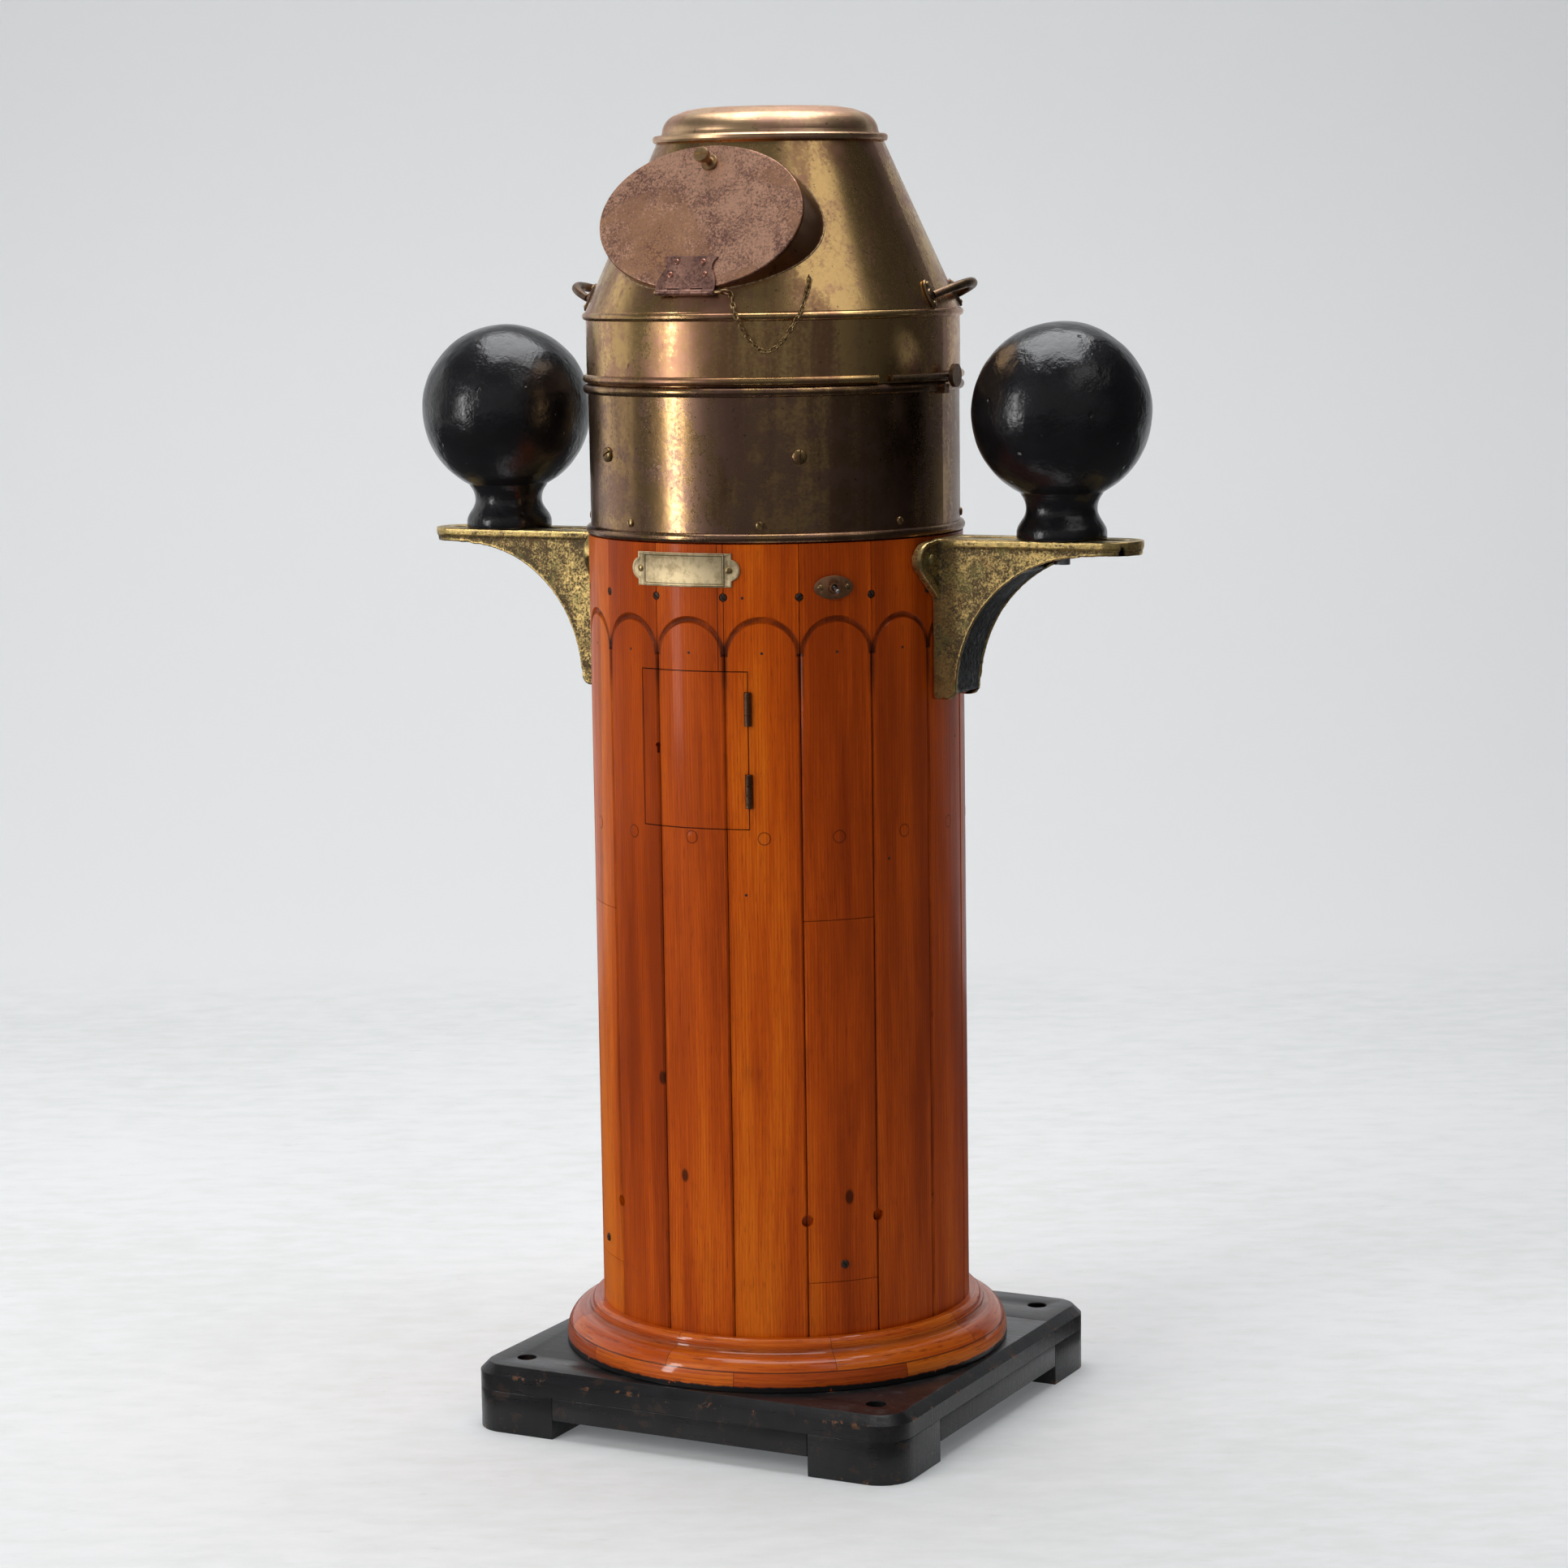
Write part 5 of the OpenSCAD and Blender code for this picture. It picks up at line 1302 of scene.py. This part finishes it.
def add_handle(name, degrees, first):
    """A bent rod that thins a little to its ends, on two riveted feet."""
    z = 1141 * MM
    r = cone_radius(z)
    tilt = Matrix.Rotation(-math.atan(CONE_SLOPE), 4, "Y")
    at = place_round(degrees, r, z) @ tilt
    feet = [place_round(degrees + side * 14.6, r, z) @ tilt for side in (-1, 1)]
    bail_r, out = 50.3 * MM, 27 * MM
    path, radii = [], []
    for i in range(49):
        a = math.radians(-63 + 126 * i / 48)
        path.append(at @ Vector((out - bail_r + bail_r * math.cos(a), bail_r * math.sin(a), 0)))
        radii.append((4.9 - 1.1 * abs(i - 24) / 24) * MM)
    parts = [tube(path, radii, 18)]
    outline = [(math.cos(t) * 6.3, math.sin(t) * 15.0) for t in turns(40)]
    rows = [(0.94, 0.15), (1.0, 0.5), (1.0, 2.2), (0.93, 3.0), (0.70, 3.35)]
    boss = [(0, 2.5), (5.4, 2.5), (5.2, 3.6), (4.4, 4.8), (0, 5.2)]
    spots = []
    for foot in feet:
        verts = [foot @ (Vector((x, cy * share, cz * share)) * MM)
                 for share, x in rows for cy, cz in outline]
        starts = [i * len(outline) for i in range(len(rows))]
        parts.append((verts, capped(starts, len(outline))))
        parts.append(moved(lathe([(a * MM, b * MM) for a, b in boss], 24), foot @ OUTWARDS))
        spots += [(foot @ (Vector((3.1, 0, dz)) * MM), foot.to_3x3() @ Vector((1, 0, 0)),
                   2.1 * MM) for dz in (-10.3, 10.3)]
    mesh = outward(mesh_of(name, *joined(parts)))
    piece(name, mesh, "helmet", "handle_brass",
          ("helmet_handles",) if first else ())
    fasteners(name + "_rivets", spots, DOMED, "helmet", "screw_brass", seed=8)


# ---------- plates and base ----------


PLATE_FACE = COLUMN_R + 1.35 * MM


def add_plates():
    """The nameplate stays blank, with a thin raised frame; the switch plate is domed."""
    piece("nameplate_worn", bevelled("nameplate", 0.35 * MM), "pedestal", "name_brass",
          ("nameplate",))
    wide, tall = FRAME_HALF
    corners = [(-wide, -tall), (wide, -tall), (wide, tall), (-wide, tall)]
    path = []
    for (a0, z0), (a1, z1) in zip(corners, corners[1:] + corners[:1]):
        for i in range(16):
            degrees = PLATE_AT[0] + a0 + (a1 - a0) * i / 16
            height = PLATE_AT[1] + (z0 + (z1 - z0) * i / 16) * MM
            path.append(place_round(degrees, PLATE_FACE, height).translation.copy())
    mesh = outward(mesh_of("nameplate_frame", *tube(path, 0.55 * MM, 8, closed=True)))
    piece("nameplate_frame", mesh, "pedestal", "name_brass")
    piece("switch_plate_worn", bevelled("switch_plate", 0.5 * MM), "pedestal", "red_brass",
          ("switch_plate",))


def add_base():
    for node, above, width in (("base_board_front", 60, 2.4), ("base_board_rear", 60, 2.4),
                               ("base_feet", -1, 0.8), ("base_rails", -1, 0.6)):
        mesh = bevelled(node, width * MM, 3, 25.0, above * MM)
        piece(node + "_worn", mesh, "pedestal", "base_paint", (node,), 30.0)


# ---------- compass ----------


def slab(outline, z0, z1):
    """A flat outline as a thin solid."""
    n = len(outline)
    return [(x, y, z) for z in (z0, z1) for x, y in outline], capped([0, n], n)


def add_card():
    """Ivory card with a ring of degree marks and a pointed star."""
    top = 1017.0 * MM
    disc = lathe([(0, 1015.6 * MM), (99.4 * MM, 1015.6 * MM), (100 * MM, 1016 * MM),
                  (100 * MM, 1016.8 * MM), (99.5 * MM, top), (0, top)], 180)
    piece("card_disc", mesh_of("card_disc", *disc), "card", "card_paper",
          ("compass_card",))
    marks = []
    for i in (i for i in range(360) if i % 5 == 0 or i % 2 == 0):
        a = math.radians(i)
        length = 7.0 if i % 10 == 0 else (5.0 if i % 5 == 0 else 2.6)
        r0, r1 = (97.0 - length) * MM, 97.0 * MM
        w = (0.30 if i % 10 else 0.5) * MM
        c, s = math.cos(a), math.sin(a)
        outline = [(r * c - way * w * s, r * s + way * w * c)
                   for r, way in ((r0, 1), (r0, -1), (r1, -1), (r1, 1))]
        marks.append(slab(outline, top, top + 0.1 * MM))
    for r in (97.6, 86.0, 60.0):
        ring = [Vector((r * MM * math.cos(t), r * MM * math.sin(t), top)) for t in turns(120)]
        marks.append(tube(ring, 0.22 * MM, 6, closed=True))
    for count, outer, inner, turn in ((4, 58, 9, 0.0), (4, 42, 7, math.pi / 4),
                                      (8, 28, 6, math.pi / 8)):
        for t in turns(count):
            a = turn + t
            b = a + math.pi / 4
            tip = (outer * MM * math.sin(a), outer * MM * math.cos(a))
            elbow = (inner * MM * math.sin(b), inner * MM * math.cos(b))
            marks.append(slab([(0, 0), tip, elbow], top, top + 0.12 * MM))
    mesh = outward(mesh_of("card_marks", *joined(marks)))
    piece("card_marks", mesh, "card", "card_ink")
    cap = lathe([(0, top), (7 * MM, top), (7 * MM, top + 1.2 * MM), (4 * MM, top + 3.0 * MM),
                 (0, top + 3.4 * MM)], 40)
    piece("card_cap", mesh_of("card_cap", *cap), "card", "plate_brass")


add_screws()
add_plugs()
add_sphere(-1, "sphere_left", "corrector_left")
add_sphere(1, "sphere_right", "corrector_right")
add_bracket(1, "bracket_right")
add_bracket(-1, "bracket_left")
add_rivets()
add_lid()
add_knob()
add_spout_seam()
add_chain()
add_handle("handle_right", 99, True)
add_handle("handle_left", -81, False)
add_plates()
add_base()
add_card()

# ---------- studio ----------

FAR_R = 11.0
FAR_Z = -0.004
FLOOR_HALF = 7.0
WALL_Y = 3.6
WALL_TOP = 6.0
SWEEP_R = 1.6
FLAG_R = 5.6
CAMERA_TURN = math.radians(27.19)
CAMERA_TILT = math.radians(7.76)
CAMERA_YAW = math.radians(0.07)
CAMERA_ROLL = math.radians(-0.82)
CAMERA_AT = (1.8125, -3.5287, 1.1847)
CAMERA_LENS = 89.70
WALL_GLOW = 0.12


def staged(name, mesh, material, *hidden_from):
    """A piece of the studio, hidden from the named kinds of ray."""
    made = loose(name, mesh)
    mesh.materials.append(material)
    hide(made, hidden_from)
    return made


def hide(made, rays):
    for ray in rays:
        setattr(made, "visible_" + ray, False)


def add_sweep():
    """Floor that curves up into a wall behind, turned square to the camera."""
    profile = [(-FLOOR_HALF, 0.0), (WALL_Y - SWEEP_R, 0.0)]
    for i in range(1, 25):
        a = math.radians(90 * i / 24)
        profile.append((WALL_Y - SWEEP_R + SWEEP_R * math.sin(a), SWEEP_R * (1 - math.cos(a))))
    profile.append((WALL_Y, WALL_TOP))
    n = len(profile)
    verts = [(x, y, z) for x in (-FLOOR_HALF, FLOOR_HALF) for y, z in profile]
    mesh = mesh_of("sweep", verts, bands([n, 0], n, closed=False))
    mesh.shade_smooth()
    f = Finish("pale_floor")
    scuffs = f.noise(14.0, 8.0, 0.7, f.stretched(1.0, 2.2, 1.0))
    broad = f.noise(1.3, 3.0, 0.6)
    marks = f.fade(f.noise(55.0, 4.0, 0.75, f.stretched(0.35, 1.0, 1.0)), 0.62, 0.70)
    level = f.fade(f.z, 0.05, -0.02)
    colour = f.mix(f.fade(scuffs * 0.6 + broad * 0.4, 0.38, 0.66) * level, (0.80, 0.80, 0.80),
                   (0.70, 0.71, 0.69))
    colour = f.mix(marks * 0.22 * level, colour, (0.45, 0.45, 0.43))
    # painted shade: a little darker on the floor's near left side and high on the wall
    near_left = f.fade(f.x, -0.1, -1.5) * f.fade(f.y, 0.8, -0.8)
    colour = f.mix(near_left * level * 0.5, colour, (0.55, 0.55, 0.54))
    colour = f.mix(f.fade(f.z, 0.7, 2.0) * 0.55, colour, (0.58, 0.585, 0.59))
    f.set(Base_Color=colour, Roughness=0.55 - level * 0.08 + scuffs * 0.1,
          Emission_Color=(0.93, 0.97, 1.0), Emission_Strength=WALL_GLOW, Specular_IOR_Level=0.0)
    # the sweep has one side, so that it never stands before the object from behind
    facing = f.node("ShaderNodeNewGeometry")
    both = f.node("ShaderNodeMixShader")
    clear = f.node("ShaderNodeBsdfTransparent")
    f.tree.links.new(facing.outputs["Backfacing"], both.inputs[0])
    f.tree.links.new(f.shader.outputs[0], both.inputs[1])
    f.tree.links.new(clear.outputs[0], both.inputs[2])
    f.tree.links.new(both.outputs[0], f.tree.nodes["Material Output"].inputs["Surface"])
    staged("sweep", mesh, f.material).rotation_euler.z = CAMERA_TURN
    plaster = Finish("pale_wall")
    shade = plaster.noise(0.6, 2.0, 0.5)
    plaster.set(Base_Color=(0.0, 0.0, 0.0), Specular_IOR_Level=0.0, Emission_Strength=1.0,
                Emission_Color=plaster.mix(shade, (0.64, 0.66, 0.67), (0.70, 0.71, 0.72)))
    for name, profile in (("far_floor", [(0.0, FAR_Z), (FAR_R, FAR_Z)]),
                          ("far_wall", [(FAR_R, FAR_Z), (FAR_R, FAR_R)])):
        staged(name, mesh_of(name, *lathe(profile, 64)), plaster.material, "diffuse", "glossy",
               "shadow", "transmission")


REFLECTED_ONLY = ("camera", "diffuse", "shadow", "transmission")


def add_flag():
    """Black cloth round the front of the studio, seen only in reflections, where it glows dimly as
    a painted reflection.
    """
    rows = [(0.42, 0.004), (FLAG_R, 0.004), (FLAG_R, 2.6), (FLAG_R * 0.8, 5.2)]
    n = 49
    angles = [CAMERA_TURN + math.radians(-82 + 228 * i / (n - 1)) for i in range(n)]
    verts = [(radius * math.sin(a), -radius * math.cos(a), height)
             for radius, height in rows for a in angles]
    mesh = mesh_of("black_flag", verts, bands([i * n for i in range(len(rows))], n, False))
    f = Finish("black_cloth")
    weave = f.noise(40.0, 3.0, 0.5)
    angle, _ = f.round_the_axis()
    # painted reflection: the cloth glows fully from the left round to just past the camera's
    # bearing and above 0.9 m, fading out to the right and towards the floor
    glow = f.fade(angle, CAMERA_TURN + 1.25, CAMERA_TURN + 0.1) * f.fade(f.z, 0.1, 0.9)
    f.set(Base_Color=f.mix(weave, (0.010, 0.010, 0.011), (0.022, 0.022, 0.024)), Roughness=0.9,
          Emission_Color=f.mix(glow, (0.030, 0.030, 0.032), (0.20, 0.20, 0.205)),
          Emission_Strength=1.0)
    staged("black_flag", mesh, f.material, *REFLECTED_ONLY)


def add_floor_cloth():
    """Black cloth on the floor all round, seen only in reflections, with a faint painted glow."""
    mesh = mesh_of("floor_cloth", *lathe([(0.42, 0.003), (4.0, 0.003)], 64))
    staged("floor_cloth", mesh, bpy.data.materials["black_cloth"], *REFLECTED_ONLY)


def add_camera():
    turn = Matrix.Rotation(CAMERA_TURN, 3, "Z")
    ahead = Vector((math.sin(CAMERA_YAW) * math.cos(CAMERA_TILT),
                    math.cos(CAMERA_YAW) * math.cos(CAMERA_TILT), -math.sin(CAMERA_TILT)))
    right = Vector((math.cos(CAMERA_YAW), -math.sin(CAMERA_YAW), 0))
    up = right.cross(ahead)
    c, s = math.cos(CAMERA_ROLL), math.sin(CAMERA_ROLL)
    columns = [turn @ (right * c + up * s), turn @ (up * c - right * s), turn @ -ahead]
    camera = bpy.data.objects.new("camera", bpy.data.cameras.new("camera"))
    camera.matrix_world = Matrix.Translation(CAMERA_AT) @ Matrix(columns).transposed().to_4x4()
    camera.data.lens = CAMERA_LENS
    camera.data.sensor_width = 36.0
    camera.data.clip_end = 50.0
    bpy.context.scene.collection.objects.link(camera)
    bpy.context.scene.camera = camera


def add_softbox(name, azimuth, distance, height, size, power, aim=0.75, hidden_from=(),
                colour=(1, 1, 1)):
    """A rectangular light; azimuth is counted from the front towards +X, in degrees."""
    a = math.radians(azimuth)
    light = bpy.data.lights.new(name, "AREA")
    light.shape = "RECTANGLE"
    light.size, light.size_y = size
    light.energy = power
    light.color = colour
    lamp = bpy.data.objects.new(name, light)
    hide(lamp, ("camera", *hidden_from))
    lamp.location = (distance * math.sin(a), -distance * math.cos(a), height)
    aim_at = Vector((0, 0, aim)) - lamp.location
    lamp.rotation_euler = aim_at.to_track_quat("-Z", "Y").to_euler()
    bpy.context.scene.collection.objects.link(lamp)


def add_studio():
    add_sweep()
    add_flag()
    add_floor_cloth()
    add_softbox("strip", -35, 3.2, 1.25, (0.35, 1.9), 25, hidden_from=("diffuse",))
    add_softbox("overhead", 207, 0.35, 4.2, (3.0, 3.0), 116, colour=(0.97, 0.985, 1.0))
    add_softbox("left_fill", -85, 3.4, 1.6, (2.2, 2.2), 9)
    add_softbox("right_high", 70, 3.2, 4.2, (3.0, 1.3), 11)
    add_softbox("front_fill", -22, 4.0, 2.4, (2.6, 2.2), 82, hidden_from=("glossy",))
    add_softbox("wall_wash", 207, 2.2, 4.4, (4.0, 1.0), 8, aim=1.6)
    world = bpy.data.worlds.new("studio")
    world.use_nodes = True
    sky = world.node_tree.nodes["Background"]
    sky.inputs[0].default_value = (0.75, 0.78, 0.82, 1)
    sky.inputs[1].default_value = 0.12
    bpy.context.scene.world = world
    bpy.context.scene.view_settings.view_transform = "Standard"


add_camera()
add_studio()
